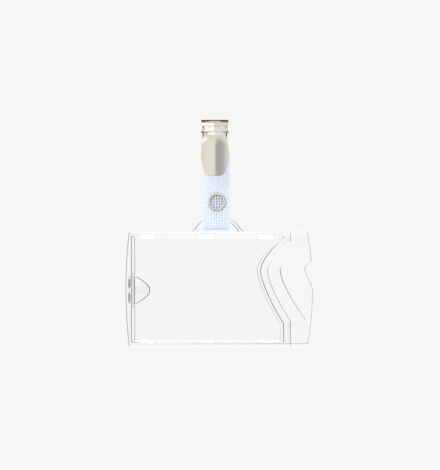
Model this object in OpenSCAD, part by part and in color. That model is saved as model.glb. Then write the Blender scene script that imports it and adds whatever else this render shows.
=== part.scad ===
// Rigid clear card holder hung by a D-loop on a vinyl snap strap below a thumb-lever clip.
// Millimetres, +Z up, front towards -Y. The origin is the middle of the clip's mouth.

/* [Clip] */
// Width of the two jaws
jaw_w = 13.7; // [12:0.1:16]
// Thickness of the clip's sheet metal
sheet_t = 0.6; // [0.4:0.05:0.8]
// Gap between the closed jaws
mouth_gap = 0.3; // [0.2:0.05:0.6]
// Height of the front jaw's flat lip
front_lip_h = 1.7; // [1.2:0.1:1.8]
// Height of the rear jaw above the front jaw
rear_lip_rise = 1.5; // [0.5:0.1:2.5]
// Width of the lever's neck
neck_w = 9.8; // [8.5:0.1:10.5]
// Side gap between the neck and the rear plate's ears
ear_gap = 0.7; // [0.3:0.05:0.8]
// Outer radius of the ears around the pin
ear_r = 1.6; // [1.3:0.1:1.7]
// Length of the rear plate's ears below the pin
ear_len = 6.5; // [4:0.1:7]
// Diameter of the pivot pin
pin_d = 1.0; // [0.8:0.1:1.1]
// Running clearance on radius around the pin
pin_fit = 0.05; // [0.02:0.01:0.1]
// Depth of the pin below the mouth
pin_drop = 4.4; // [4.2:0.1:5]
// Distance of the pin in front of the mouth
pin_reach = 2.0; // [1.9:0.1:2.4]
// Diameter of the pin's rivet heads
pin_head_d = 1.9; // [1.6:0.1:2.4]
// Thickness of the pin's rivet heads
pin_head_t = 0.7; // [0.4:0.1:1]

/* [Thumb lever] */
// Distance of the lever's bend in front of the mouth
bend_reach = 5.2; // [5:0.1:6]
// Depth of the lever's bend below the mouth
bend_drop = 4.9; // [4.6:0.1:5.2]
// Radius of the rolled bend between neck and pad
bend_r = 1.0; // [0.8:0.1:1.2]
// Length of the thumb pad along its slope
pad_len = 23.2; // [18:0.2:24]
// Widest part of the thumb pad
pad_w = 13.8; // [12:0.1:16]
// Width of the pad where it leaves the bend
pad_root_w = 10.3; // [9:0.1:11]
// Width of the pad where its tip starts to round off
pad_shoulder_w = 11; // [9:0.1:11.6]
// Width of the pad's blunt tip
pad_tip_w = 3; // [2:0.1:6]
// Height of the pad's middle ridge over its edges
ridge_h = 1.1; // [0.6:0.1:1.6]
// Softness of the ridge
ridge_soft = 0.6; // [0.4:0.1:1.6]
// How far the pad's flanks flatten out towards its edges, 1 for straight flanks
flank_curve = 1.6; // [1:0.1:2]
// Slope of the pad away from the rear plate, in degrees
pad_tilt = 18; // [14:1:22]
// Diameter of the two pressed dimples on the neck
dimple_d = 1.1; // [0.6:0.1:1.6]
// Distance between the two dimples
dimple_span = 4.5; // [3:0.1:6]

/* [Clip spring] */
// Wire diameter of the torsion spring
wire_d = 0.35; // [0.25:0.05:0.4]
// Gap between the spring's curls and the pin
coil_gap = 0.15; // [0.1:0.05:0.2]
// Number of curls
curls = 4; // [2:1:5]
// Distance from curl to curl
curl_pitch = 1.0; // [0.9:0.05:1.2]
// Length of the two legs
leg_len = 7; // [5:0.5:8]

/* [Tail and rivet] */
// Width of the rear plate's tail
tail_w = 9.8; // [8:0.1:12]
// Depth of the tail's end below the mouth
tail_drop = 24.5; // [23:0.5:27]
// Depth of the rivet below the mouth
rivet_drop = 19.2; // [17:0.1:20]
// Diameter of the rivet's shank
rivet_d = 3.2; // [2.4:0.1:4]
// Diameter of the rivet's head
rivet_head_d = 6.4; // [5:0.1:7]
// Thickness of the rivet's head
rivet_head_t = 0.7; // [0.5:0.1:0.9]
// Diameter of the washer under the rivet's clenched end
washer_d = 6; // [5:0.1:7]
// Thickness of that washer
washer_t = 0.5; // [0.4:0.1:0.8]

/* [Strap] */
// Width of the strap
strap_w = 12.7; // [10:0.1:16]
// Thickness of the strap's vinyl
strap_t = 0.6; // [0.4:0.05:0.8]
// Sideways place of the strap's middle
strap_shift = 1.0; // [0:0.1:2]
// Gap between the strap's two leaves
leaf_gap = 4.0; // [3.8:0.1:4.6]
// Gap between the strap and the tail it lies on
strap_seat = 0.15; // [0.1:0.05:0.3]
// Strap left above the rivet
strap_above = 5.2; // [4:0.1:6]
// Height of the line where the strap bends above the flap's free end
bend_above = 2.6; // [2:0.1:4]
// Gap between two stretches of strap at a bend
bend_gap = 0.5; // [0.4:0.05:0.7]
// Height of the flap's free end above the strap's lowest point
flap_rise = 20.9; // [20:0.1:24]
// Depth of the strap's lowest point below the mouth
bight_drop = 54.0; // [52:0.5:62]
// Gap between the strap's lowest point and the holder's top edge
bight_gap = 0.8; // [0.6:0.1:1]
// Corner radius of the strap's free ends
strap_corner = 2.2; // [1:0.1:4]

/* [Snap] */
// Height of the snap's middle above the strap's lowest point
snap_rise = 14.1; // [13.8:0.1:15]
// Outer diameter of the prong rings
ring_od = 9.3; // [8:0.1:10]
// Inner diameter of the prong rings
ring_id = 6.4; // [5.6:0.1:7]
// Height of the prong rings
ring_h = 1.1; // [0.8:0.1:1.4]
// Number of prongs on a ring
prongs = 5; // [3:1:8]
// Width of one prong
prong_w = 0.9; // [0.6:0.1:1.2]
// Thickness of one prong
prong_t = 0.3; // [0.2:0.05:0.4]
// Clearance around the prongs and inside the snap
snap_fit = 0.25; // [0.15:0.05:0.35]
// Diameter of the flanges of socket and stud
flange_d = 8.6; // [8:0.1:9.2]
// Thickness of those flanges
flange_t = 0.8; // [0.7:0.05:0.9]
// Diameter of the stud
stud_d = 3.4; // [2.8:0.1:3.8]
// Height of the socket's cup below its flange
cup_h = 1.6; // [1.4:0.1:1.8]
// Wall of the socket's cup
cup_wall = 0.5; // [0.4:0.05:0.7]
// Wire diameter of the spring ring in the socket
snap_wire_d = 0.4; // [0.3:0.05:0.5]

/* [Card holder] */
// Width of the card
card_w = 85.6; // [80:0.1:90]
// Height of the card
card_h = 54.0; // [50:0.1:58]
// Height of the walls above and below the card
wall_h = 1.9; // [1.6:0.1:3]
// Thickness of the holder
holder_t = 4.5; // [4.2:0.1:5.5]
// Sideways place of the pocket's left end
pocket_left = -41.6; // [-44:0.1:-40]
// Distance from the flap's outer face back to the holder's front
holder_set_back = 0.2; // [0.1:0.05:0.4]
// Margin between the pocket's left end and the holder's left corners
left_margin = 1.5; // [1.2:0.1:3]
// Margin between the card's right end and the holder's right corners
right_margin = 2.6; // [1.5:0.1:4]
// Bow of the left edge
left_bow = 1.7; // [0.5:0.1:3]
// Bow of the right edge
right_bow = 2.6; // [0.5:0.1:4]
// Thickness of the floor behind the card
floor_t = 1.2; // [0.8:0.1:1.4]
// Thickness of the front cover
cover_t = 1.2; // [0.9:0.1:1.5]
// Gap between the cover and the walls below it
cover_seat = 0.05; // [0:0.01:0.1]
// Radius of the holder's corners
holder_corner = 1.6; // [0.8:0.1:2.5]

/* [D-loop] */
// Outer radius of the loop
loop_r = 13.5; // [12.5:0.1:15]
// Width of the loop's bar, seen from the front
loop_w = 2.0; // [1.6:0.1:2.2]
// Thickness of the loop's bar, front to back
loop_t = 2.2; // [1.8:0.1:2.4]
// Edge radius of the loop's bar
loop_edge = 0.7; // [0.3:0.1:0.8]
// Sideways place of the loop's middle
loop_shift = 1.5; // [0:0.1:3]
// Depth of the loop's centre below the holder's top edge
loop_sink = 5.4; // [5:0.1:6]

/* [Curved front edge] */
// Depth of the curve's deepest point below the holder's top edge
edge_apex_drop = 19.8; // [16:0.1:26]
// Distance of the cover's straight edge from the card's right end
edge_in = 5.8; // [4:0.1:10]
// How far the cover's edge sweeps in
edge_sweep = 11.6; // [6:0.1:15]
// Height of the curve above its deepest point
edge_rise = 14.6; // [10:0.1:16]
// Height of the curve below its deepest point
edge_fall = 25.1; // [20:0.1:30]
// Bend of the curves above their deepest point: 1 is straight, 2 a parabola
bend_up = 1.65; // [1.2:0.05:2]
// Bend of the curves below their deepest point
bend_down = 1.4; // [1.2:0.05:2]
// Distance of the window's edge from the cover's edge
window_in = 3.9; // [2:0.1:6]
// Width of the window's bevelled step
window_step = 1.65; // [0.8:0.05:3]
// How much higher the window's curve is than the cover's, above its deepest point
window_more_up = 2.2; // [0:0.1:3]
// How much higher it is below its deepest point
window_more_down = 1.3; // [0:0.1:3]
// Depth of one step of the window
window_deep = 0.25; // [0.1:0.05:0.35]
// Height of the frame above and below the window
window_frame = 2.6; // [2.2:0.1:4]
// Distance of the thumb recess from the cover's edge
recess_in = 6.5; // [4:0.1:8]
// How far the thumb recess sweeps in
recess_sweep = 13.2; // [8:0.1:16]
// Height of the thumb recess above its deepest point
recess_rise = 11.6; // [8:0.1:14]
// Depth of the thumb recess in the floor
recess_deep = 0.5; // [0.2:0.05:0.6]
// How far the right edge is dented at the thumb recess
dent_sweep = 3.6; // [1:0.1:4.5]
// Height of the dent's deepest point above the curve's
dent_up = 1.3; // [0:0.1:3]
// Height of the dent above its deepest point
dent_rise = 3.4; // [3:0.1:6]
// Height of the dent below its deepest point
dent_fall = 9.8; // [6:0.1:14]

/* [Lugs] */
// Distance from lug to lug
lug_pitch = 29.8; // [24:0.1:32]
// Sideways place of the first lug from the pocket's left end
lug_start = 7.9; // [7:0.1:12]
// Length of a lug's slot
slot_len = 8.2; // [6:0.1:10]
// Height of a lug's slot
slot_h = 1.8; // [1.2:0.1:2]
// Clearance around a lug in its slot
lug_fit = 0.1; // [0.05:0.01:0.2]
// Room left for the card behind a lug's foot
card_room = 1.1; // [0.9:0.1:1.3]

/* [Spring finger] */
// Depth of the finger's middle below the holder's top edge
finger_drop = 29.3; // [26:0.1:32]
// Height of the thumb notch
notch_h = 13.6; // [10:0.1:16]
// Reach of the thumb notch from the pocket's left end
notch_reach = 8.8; // [6:0.1:12]
// Height of the finger
finger_h = 4.0; // [3:0.1:5]
// Reach of the finger from the pocket's left end
finger_reach = 8.0; // [5:0.1:8.2]
// Thickness of the finger
finger_t = 0.8; // [0.6:0.05:0.9]
// Gap between the finger and the cover
finger_gap = 0.25; // [0.2:0.05:0.4]
// Diameter of the bar that the finger springs on
bar_d = 1.0; // [0.8:0.1:1.1]
// Length of that bar
bar_len = 17.5; // [16.8:0.1:20]
// Height of the two posts that carry the bar
post_h = 1.3; // [1:0.1:1.6]
// Widest part of one slit beside the finger's bar
slit_w = 1.2; // [0.6:0.1:1.4]

/* [Hidden] */
$fn = 48;
// A cut runs this far past the faces that it opens
over = 0.4;
// Points along a soft outline
fine = 12;
// Points around a rounded corner
corner_fine = 5;

nickel = [0.80, 0.78, 0.74];
vinyl = [0.90, 0.94, 0.98, 0.6];
clear = [0.94, 0.96, 0.96, 0.5];

// Clip places
rear_y = mouth_gap / 2;
lip_y = -mouth_gap / 2;
pin_y = -pin_reach;
pin_z = -pin_drop;
ear_in = neck_w / 2 + ear_gap;
ear_out = ear_in + sheet_t;
pin_bore_d = pin_d + 2 * pin_fit;
// The inner ears leave this much of the neck's width outside them
inner_ear_inset = 0.1;
inner_ear_out = neck_w / 2 - inner_ear_inset;
// Height of the plate's shoulder below the pin
shoulder_drop = pin_drop + 2 * ear_r;

// Strap places: the rear leaf lies on the tail
leaf_back = rear_y - strap_seat;
leaf_front = leaf_back - strap_t;
flap_back = leaf_front - leaf_gap;
flap_front = flap_back - strap_t;
bight_r = leaf_gap / 2 + strap_t;
bight_y = leaf_back - bight_r;
bight_z = bight_r - bight_drop;
snap_drop = bight_drop - snap_rise;
flap_top_drop = bight_drop - flap_rise;
bend_line_drop = flap_top_drop - bend_above;
flap_root_z = bight_z + bend_gap;
rivet_bore_d = rivet_d + 2 * pin_fit;

// Holder places
holder_y = flap_front + holder_set_back;
holder_h = card_h + 2 * wall_h;
holder_top = -bight_drop - bight_gap;
holder_bottom = holder_top - holder_h;
holder_mid = holder_top - holder_h / 2;
cover_back = holder_y + cover_t;
wall_front = cover_back + cover_seat;
floor_front = holder_y + holder_t - floor_t;
pocket_top = holder_mid + card_h / 2;
pocket_bottom = holder_mid - card_h / 2;
card_right = pocket_left + card_w;
corner_left = pocket_left - left_margin;
corner_right = card_right + right_margin;
edge_apex = holder_top - edge_apex_drop;
dent_apex = edge_apex + dent_up;
edge_x = card_right - edge_in;
recess_x = edge_x - edge_sweep + recess_in + recess_sweep;
loop_z = holder_top - loop_sink;
finger_z = holder_top - finger_drop;
bar_x = pocket_left + bar_d / 2 + lug_fit;
bar_y = wall_front + bar_d / 2 + finger_gap;

// Points of a corner between a and c, rounded at b with radius r
function turn(a, b, c, r) =
    let (
        u = (a - b) / norm(a - b),
        v = (c - b) / norm(c - b),
        half = acos(u * v) / 2,
        mid = b + (u + v) / norm(u + v) * r / sin(half),
        from = b + u * r / tan(half) - mid,
        to = b + v * r / tan(half) - mid
    )
    [for (i = [0:corner_fine]) mid + r * unit(from + (to - from) * i / corner_fine)];
function unit(v) = v / norm(v);
function rounded(pts, r) =
    let (n = len(pts))
    [for (i = [0:n - 1]) each turn(pts[(i + n - 1) % n], pts[i], pts[(i + 1) % n], r)];

// Sideways dip at depth z: 1 at the apex, 0 past the rise and the fall
function dip(z, apex, rise, fall) =
    z > apex
        ? 1 - pow(min((z - apex) / rise, 1), bend_up)
        : 1 - pow(min((apex - z) / fall, 1), bend_down);
function bow(z, sag) = sag * (1 - pow((z - holder_mid) / (holder_h / 2), 2));

// A profile drawn in Y and Z, w wide across X
module across(w, x = 0) {
    translate([x, 0, 0])
        rotate([90, 0, 90])
            linear_extrude(w, center = true) children();
}

// An outline drawn in X and Z, from y0 back to y1
module plate(y0, y1) {
    translate([0, y1, 0])
        rotate([90, 0, 0])
            linear_extrude(y1 - y0) children();
}

// A bore or pin along X
module pin_along_x(d, len, y, z) {
    translate([0, y, z])
        rotate([0, 90, 0])
            cylinder(d = d, h = len, center = true);
}

// A bore or pin along Y from y0 to y1
module pin_along_y(d, y0, y1, x, z) {
    translate([x, y1, z])
        rotate([90, 0, 0])
            cylinder(d = d, h = y1 - y0);
}

// Clip: stamped and folded nickel-plated steel
module ear_profile(back_y) {
    foot = [back_y, pin_z - ear_len];
    slope = [pin_y, pin_z] - foot;
    reach = norm(slope);
    lean = atan2(slope[1], slope[0]) + asin(ear_r / reach);
    // The ear's front edge leaves its lobe at a tangent
    leave = foot + sqrt(reach * reach - ear_r * ear_r) * [cos(lean), sin(lean)];
    difference() {
        union() {
            translate([pin_y, pin_z]) circle(ear_r);
            polygon([
                [pin_y, pin_z], [pin_y, pin_z + ear_r], [back_y, -front_lip_h], foot, leave
            ]);
        }
        translate([pin_y, pin_z]) circle(d = pin_bore_d);
    }
}

module clip_rear_plate() {
    lip_half = jaw_w / 2;
    tail_half = tail_w / 2;
    lip_bottom = -front_lip_h;
    shoulder_end = ear_out - tail_half;
    color(nickel)
    difference() {
        union() {
            plate(rear_y, rear_y + sheet_t)
                polygon([
                    [-lip_half, rear_lip_rise], [lip_half, rear_lip_rise],
                    [lip_half, lip_bottom], [ear_out, lip_bottom],
                    [ear_out, -shoulder_drop], [tail_half, -shoulder_drop - shoulder_end],
                    each turn([tail_half, 0], [tail_half, -tail_drop], [0, -tail_drop], tail_half / 2),
                    each turn([0, -tail_drop], [-tail_half, -tail_drop], [-tail_half, 0], tail_half / 2),
                    [-tail_half, -shoulder_drop - shoulder_end], [-ear_out, -shoulder_drop],
                    [-ear_out, lip_bottom], [-lip_half, lip_bottom]
                ]);
            for (side = [-1, 1])
                across(sheet_t, side * (ear_in + sheet_t / 2)) ear_profile(rear_y + sheet_t / 2);
        }
        pin_along_y(rivet_bore_d, rear_y - over, rear_y + sheet_t + over, strap_shift, -rivet_drop);
    }
}

// Side view of the lever: directions and bend, as Y and Z
pad_dir = [-sin(pad_tilt), -cos(pad_tilt)];
pad_out = [-cos(pad_tilt), sin(pad_tilt)];
bend_at = [-bend_reach, -bend_drop];
// The bend's arc turns from the neck's slope to the pad's
neck_from = [lip_y - sheet_t / 2, -front_lip_h];
bend_mid = bend_at - pad_out * bend_r;
neck_dir = unit(bend_at - neck_from);
neck_out = [neck_dir[1], -neck_dir[0]];
bend_start = bend_mid + bend_r * neck_out;
function arc_point(t, r) =
    bend_mid + r * unit((bend_start - bend_mid) * (1 - t) + (bend_at - bend_mid) * t);
lever_side = [
    [lip_y, 0], [lip_y - sheet_t, 0],
    [lip_y - sheet_t, -front_lip_h + sheet_t / 2],
    for (i = [0:corner_fine]) arc_point(i / corner_fine, bend_r + sheet_t / 2),
    for (i = [corner_fine:-1:0]) arc_point(i / corner_fine, bend_r - sheet_t / 2),
    [lip_y, -front_lip_h - sheet_t / 2]
];

function ridge_run(x) = sqrt(x * x + ridge_soft * ridge_soft) - ridge_soft;
// How far the pad's middle sheet lies behind its ridge at x
function roof(x) = ridge_h * (1 - pow(1 - ridge_run(x) / ridge_run(pad_w / 2), flank_curve));
// Half width of the pad at a share t of its length
pad_swell_at = 0.44;
pad_tip_at = 0.86;
pad_taper = 2.6;
function pad_half(t) =
    t < pad_swell_at
        ? (pad_root_w + (pad_w - pad_root_w) * sin(90 * t / pad_swell_at)) / 2
        : t < pad_tip_at
            ? (pad_w - (pad_w - pad_shoulder_w)
                * pow((t - pad_swell_at) / (pad_tip_at - pad_swell_at), pad_taper)) / 2
            : (pad_tip_w + (pad_shoulder_w - pad_tip_w)
                * sqrt(max(0, 1 - pow((t - pad_tip_at) / (1 - pad_tip_at), 2)))) / 2;

module thumb_pad() {
    xs = [for (i = [-fine:fine]) pad_w / 2 * i / fine];
    // Rows lie closer together towards the rounded tip
    ts = [for (i = [0:2 * fine]) sin(90 * i / (2 * fine))];
    translate([0, bend_at[0], bend_at[1]])
        rotate([-pad_tilt, 0, 0])
            intersection() {
                translate([0, 0, -pad_len])
                    linear_extrude(pad_len)
                        polygon([
                            for (x = xs) [x, roof(x) - sheet_t / 2],
                            for (i = [len(xs) - 1:-1:0]) [xs[i], roof(xs[i]) + sheet_t / 2]
                        ]);
                plate(-sheet_t - over, ridge_h + sheet_t + over)
                    polygon([
                        for (t = ts) [pad_half(t), -t * pad_len],
                        for (i = [len(ts) - 1:-1:0]) [-pad_half(ts[i]), -ts[i] * pad_len]
                    ]);
            }
}

// Inner ear: a lobe round the pin that runs out to the neck and the pad
module inner_ear_profile() {
    difference() {
        union() {
            translate([pin_y, pin_z]) circle(ear_r);
            polygon([
                neck_from + neck_dir * ear_r, bend_start, bend_at,
                bend_at + pad_dir * ear_r, [pin_y, pin_z - ear_r + sheet_t / 4]
            ]);
        }
        translate([pin_y, pin_z]) circle(d = pin_bore_d);
    }
}

// Share of the neck's slope where the dimples sit
dimple_at = 0.3;
module clip_lever() {
    ear_mid = inner_ear_out - sheet_t / 2;
    dimple_place = neck_from + (bend_start - neck_from) * dimple_at + neck_out * (sheet_t + dimple_d / 2) / 2;
    side_cut = jaw_w - neck_w;
    cut_h = bend_drop + bend_r;
    color(nickel)
    difference() {
        union() {
            difference() {
                across(jaw_w) polygon(lever_side);
                for (side = [-1, 1])
                    translate([side * (neck_w + side_cut) / 2, -bend_reach, -front_lip_h - cut_h / 2])
                        cube([side_cut, 4 * bend_reach, cut_h], center = true);
            }
            thumb_pad();
            for (side = [-1, 1])
                across(sheet_t, side * ear_mid) inner_ear_profile();
        }
        for (side = [-1, 1])
            translate([side * dimple_span / 2, dimple_place[0], dimple_place[1]]) sphere(d = dimple_d);
    }
}

// Pivot pin, clenched at both ends outside the ears
module clip_pivot_pin() {
    head_at = ear_out + pin_fit + pin_head_t / 2;
    color(nickel) {
        union() {
            pin_along_x(pin_d, 2 * head_at, pin_y, pin_z);
            for (side = [-1, 1])
                translate([side * head_at, 0, 0]) pin_along_x(pin_head_d, pin_head_t, pin_y, pin_z);
        }
    }
}

// Torsion spring on the pin: one unbroken wire, a leg on the rear plate and a leg under the pad
curl_rings = 8;
wire_sides = 6;
coil_r = pin_d / 2 + coil_gap + wire_d / 2;
// The last half curl brings the wire to the coil's front
coil_turns = curls + 0.5;
coil_len = coil_turns * curl_pitch;
coil_rings = coil_turns * curl_rings;
// The legs leave the coil at its back and its front, and lean to what they press on
rear_leg_end = [rear_y - wire_d / 2 - coil_gap, pin_z - leg_len];
pad_under = bend_at + pad_dir * leg_len - pad_out * (sheet_t + wire_d + coil_gap);
leg_rings = 3;
function coil_point(i) =
    let (a = 360 * coil_turns * i / coil_rings)
    [-coil_len / 2 + coil_len * i / coil_rings, pin_y + coil_r * cos(a), pin_z + coil_r * sin(a)];
function leg_point(from, to, t) = from + (to - from) * t;
spring_path = let (
        first = coil_point(0),
        last = coil_point(coil_rings),
        rear_end = [first[0], rear_leg_end[0], rear_leg_end[1]],
        front_end = [last[0], pad_under[0], pad_under[1]]
    )
    [
        for (i = [leg_rings:-1:1]) leg_point(first, rear_end, i / leg_rings),
        for (i = [0:coil_rings]) coil_point(i),
        for (i = [1:leg_rings]) leg_point(last, front_end, i / leg_rings)
    ];

function tube_ring(path, i, r) =
    let (
        n = len(path),
        along = unit(path[min(i + 1, n - 1)] - path[max(i - 1, 0)]),
        side = unit(cross(along, [1, 0, 0])),
        up = cross(side, along),
        step = 360 / wire_sides
    )
    [for (k = [0:wire_sides - 1]) path[i] + r * (cos(step * k) * side + sin(step * k) * up)];

module tube(path, r) {
    n = len(path);
    rings = [for (i = [0:n - 1]) each tube_ring(path, i, r)];
    ends = [path[0], path[n - 1]];
    first_hub = n * wire_sides;
    polyhedron(
        concat(rings, ends),
        [
            for (i = [0:n - 2])
                for (k = [0:wire_sides - 1])
                    let (
                        a = i * wire_sides + k,
                        b = i * wire_sides + (k + 1) % wire_sides
                    )
                    each [[a, b, a + wire_sides], [b, b + wire_sides, a + wire_sides]],
            for (k = [0:wire_sides - 1]) [first_hub, (k + 1) % wire_sides, k],
            for (k = [0:wire_sides - 1])
                let (base = (n - 1) * wire_sides)
                [first_hub + 1, base + k, base + (k + 1) % wire_sides]
        ]
    );
}

// Least gap between curls, measured between path points over half a curl apart
spring_gap = min([
    for (i = [0:len(spring_path) - 1])
        for (j = [i + curl_rings / 2 + 1:1:len(spring_path) - 1])
            norm(spring_path[i] - spring_path[j])
]) - wire_d;
echo(spring_gap = spring_gap);

module clip_spring() {
    color("gainsboro") tube(spring_path, wire_d / 2);
}

// Rivet and washer that hold the strap to the tail
module strap_rivet() {
    head_front = leaf_front - strap_seat - rivet_head_t;
    shank_end = rear_y + sheet_t + washer_t + strap_seat;
    color(nickel)
    union() {
        pin_along_y(rivet_d, head_front + rivet_head_t / 2, shank_end, strap_shift, -rivet_drop);
        pin_along_y(rivet_head_d, head_front, head_front + rivet_head_t, strap_shift, -rivet_drop);
    }
}

module strap_washer() {
    front = rear_y + sheet_t + cover_seat;
    back = front + washer_t;
    color(nickel)
    difference() {
        pin_along_y(washer_d, front, back, strap_shift, -rivet_drop);
        pin_along_y(rivet_bore_d, front - over, back + over, strap_shift, -rivet_drop);
    }
}

// Strap: mesh-reinforced clear vinyl, cut in three where it bends
module strap_outline(top, bottom) {
    half = strap_w / 2;
    translate([strap_shift, 0])
        polygon([
            [-half, bottom], [half, bottom],
            each turn([half, bottom], [half, top], [0, top], strap_corner),
            each turn([0, top], [-half, top], [-half, bottom], strap_corner)
        ]);
}

module strap_tab() {
    color(vinyl)
    difference() {
        plate(leaf_front, leaf_back)
            strap_outline(strap_above - rivet_drop, bend_gap / 2 - bend_line_drop);
        pin_along_y(rivet_bore_d, leaf_front - over, leaf_back + over, strap_shift, -rivet_drop);
    }
}

// Slits for a ring's prongs and the hole for the snap's middle
module snap_cuts(y0, y1) {
    pin_along_y(stud_d - 2 * snap_fit, y0 - over, y1 + over, strap_shift, -snap_drop);
    prong_row(y0 - over, y1 + over, snap_fit);
}

// Prongs stand in a circle in the middle of a ring's width
prong_r = (ring_od + ring_id) / 4;
module prong_row(y0, y1, grow) {
    for (i = [0:prongs - 1])
        translate([strap_shift, (y0 + y1) / 2, -snap_drop])
            rotate([0, 360 * i / prongs, 0])
                translate([0, 0, prong_r])
                    cube([prong_w + 2 * grow, y1 - y0, prong_t + 2 * grow], center = true);
}

module strap_rear() {
    top = -bend_gap / 2 - bend_line_drop;
    color(vinyl)
    difference() {
        across(strap_w, strap_shift)
            union() {
                translate([leaf_front, bight_z]) square([strap_t, top - bight_z]);
                translate([bight_y, bight_z])
                    difference() {
                        circle(bight_r);
                        circle(leaf_gap / 2);
                        translate([-2 * bight_r, 0]) square([4 * bight_r, 2 * bight_r]);
                    }
            }
        snap_cuts(leaf_front, leaf_back);
    }
}

module strap_flap() {
    color(vinyl)
    difference() {
        plate(flap_front, flap_back) strap_outline(-flap_top_drop, flap_root_z);
        snap_cuts(flap_front, flap_back);
    }
}

// Snap: open prong rings outside, socket and stud between the leaves
module half_round_ring(y, toward) {
    mid_r = (ring_od + ring_id) / 4;
    rim = (ring_od - ring_id) / 4;
    translate([strap_shift, y, -snap_drop])
        rotate([-90 * toward, 0, 0])
            rotate_extrude()
                translate([mid_r, 0])
                    intersection() {
                        circle(rim);
                        translate([-rim, 0]) square([2 * rim, ring_h]);
                    }
}

prong_len = strap_t + flange_t / 2;
// The flanges' grooves leave room behind the prongs
groove_deep = flange_t / 2 + snap_fit;
module snap_front_ring() {
    seat = flap_front - cover_seat;
    color(nickel)
    union() {
        half_round_ring(seat, -1);
        prong_row(seat - over / 2, flap_front + prong_len, 0);
    }
}

module snap_rear_ring() {
    seat = leaf_back + cover_seat;
    color(nickel)
    union() {
        half_round_ring(seat, 1);
        prong_row(leaf_back - prong_len, seat + over / 2, 0);
    }
}

// A flange with a groove for the clenched prongs
module flange(y0, y1, groove_y0, groove_y1) {
    groove = prong_t / 2 + snap_fit;
    difference() {
        pin_along_y(flange_d, y0, y1, strap_shift, -snap_drop);
        difference() {
            pin_along_y(2 * (prong_r + groove), groove_y0, groove_y1, strap_shift, -snap_drop);
            pin_along_y(2 * (prong_r - groove), groove_y0 - over, groove_y1 + over, strap_shift, -snap_drop);
        }
    }
}

socket_front = flap_back + cover_seat;
cup_d = 2 * (prong_r - prong_t / 2 - snap_fit) - cup_wall;
// The cup stands behind the flange and takes the stud
cup_front = socket_front + flange_t;
cup_back = cup_front + cup_h;
module snap_socket() {
    color(nickel)
    difference() {
        union() {
            flange(socket_front, cup_front, socket_front - over, socket_front + groove_deep);
            pin_along_y(cup_d, cup_front - flange_t / 2, cup_back, strap_shift, -snap_drop);
        }
        pin_along_y(cup_d - 2 * cup_wall, cup_front, cup_back - cup_wall, strap_shift, -snap_drop);
        pin_along_y(stud_d + 2 * snap_fit, cup_front, cup_back + over, strap_shift, -snap_drop);
    }
}

// The spring ring is open at one side, so that it can widen
snap_wire_turn = 330;
module snap_spring() {
    ring_r = (cup_d - 2 * cup_wall) / 2 - snap_wire_d / 2 - cover_seat;
    color("gainsboro")
        translate([strap_shift, (cup_front + cup_back - cup_wall) / 2, -snap_drop])
            rotate([90, 0, 0])
                rotate_extrude(angle = snap_wire_turn) translate([ring_r, 0]) circle(d = snap_wire_d);
}

module snap_stud() {
    back = leaf_front - cover_seat;
    stud_front = cup_front + snap_fit;
    color(nickel)
    union() {
        flange(back - flange_t, back, back - groove_deep, back + over);
        pin_along_y(stud_d, stud_front, back - flange_t / 2, strap_shift, -snap_drop);
    }
}

// Card holder: clear moulded plastic
outline_rows = [for (i = [0:4 * fine]) holder_bottom + holder_h * i / (4 * fine)];
function right_edge(z) =
    corner_right + bow(z, right_bow) - dent_sweep * dip(z, dent_apex, dent_rise, dent_fall);
function left_edge(z) = corner_left - bow(z, left_bow);
// Rounds the corners: how far an edge draws in near the top and bottom rows
function corner_in(z) =
    let (d = min(z - holder_bottom, holder_top - z))
    d >= holder_corner ? 0 : holder_corner - sqrt(max(0, pow(holder_corner, 2) - pow(holder_corner - d, 2)));
corner_rows = [for (i = [0:corner_fine]) holder_corner * (1 - cos(90 * i / corner_fine))];
dent_low = dent_apex - dent_fall;
dent_high = dent_apex + dent_rise;
holder_rows = concat(
    [for (d = corner_rows) holder_bottom + d],
    [for (z = outline_rows) if (z > holder_bottom + holder_corner && z < dent_low) z],
    [for (i = [-fine:fine]) dent_apex + (i < 0 ? dent_fall : dent_rise) * i / fine],
    [for (z = outline_rows) if (z > dent_high && z < holder_top - holder_corner) z],
    [for (i = [corner_fine:-1:0]) holder_top - corner_rows[i]]
);

module holder_outline() {
    n = len(holder_rows) - 1;
    polygon([
        for (z = holder_rows) [right_edge(z) - corner_in(z), z],
        for (i = [n:-1:0]) [left_edge(holder_rows[i]) + corner_in(holder_rows[i]), holder_rows[i]]
    ]);
}

// All that lies left of an edge that sweeps in by the dip
module left_of(x, sweep, rise, fall) {
    steps = 2 * fine;
    rows = [for (i = [-steps:steps]) edge_apex + (i < 0 ? fall : rise) * i / steps];
    far = pocket_left - card_w;
    top = max(holder_top, edge_apex + rise) + over;
    bottom = min(holder_bottom, edge_apex - fall) - over;
    polygon([
        [far, bottom], [x, bottom],
        for (z = rows) [x - sweep * dip(z, edge_apex, rise, fall), z],
        [x, top], [far, top]
    ]);
}

module lug_row(y0, y1, fit) {
    len = slot_len - 2 * fit;
    high = slot_h - 2 * fit;
    for (i = [0:2])
        for (z = [pocket_top - slot_h / 2 - lug_fit, pocket_bottom + slot_h / 2 + lug_fit])
            plate(y0, y1)
                translate([pocket_left + lug_start + i * lug_pitch, z])
                    union() {
                        square([len - high, high], center = true);
                        for (side = [-1, 1]) translate([side * (len - high) / 2, 0]) circle(d = high);
                    }
}

// Two slits, one over the other, beside the finger's bar
module bar_slits() {
    slit_len = bar_len * 2 / 5;
    slit_r = (slit_len * slit_len / 4 + slit_w * slit_w / 4) / slit_w;
    for (side = [-1, 1])
        translate([pocket_left - slit_w, finger_z + side * (slit_len / 2 + lug_fit)])
            intersection() {
                translate([slit_r - slit_w / 2, 0]) circle(slit_r);
                translate([slit_w / 2 - slit_r, 0]) circle(slit_r);
            }
}

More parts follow.
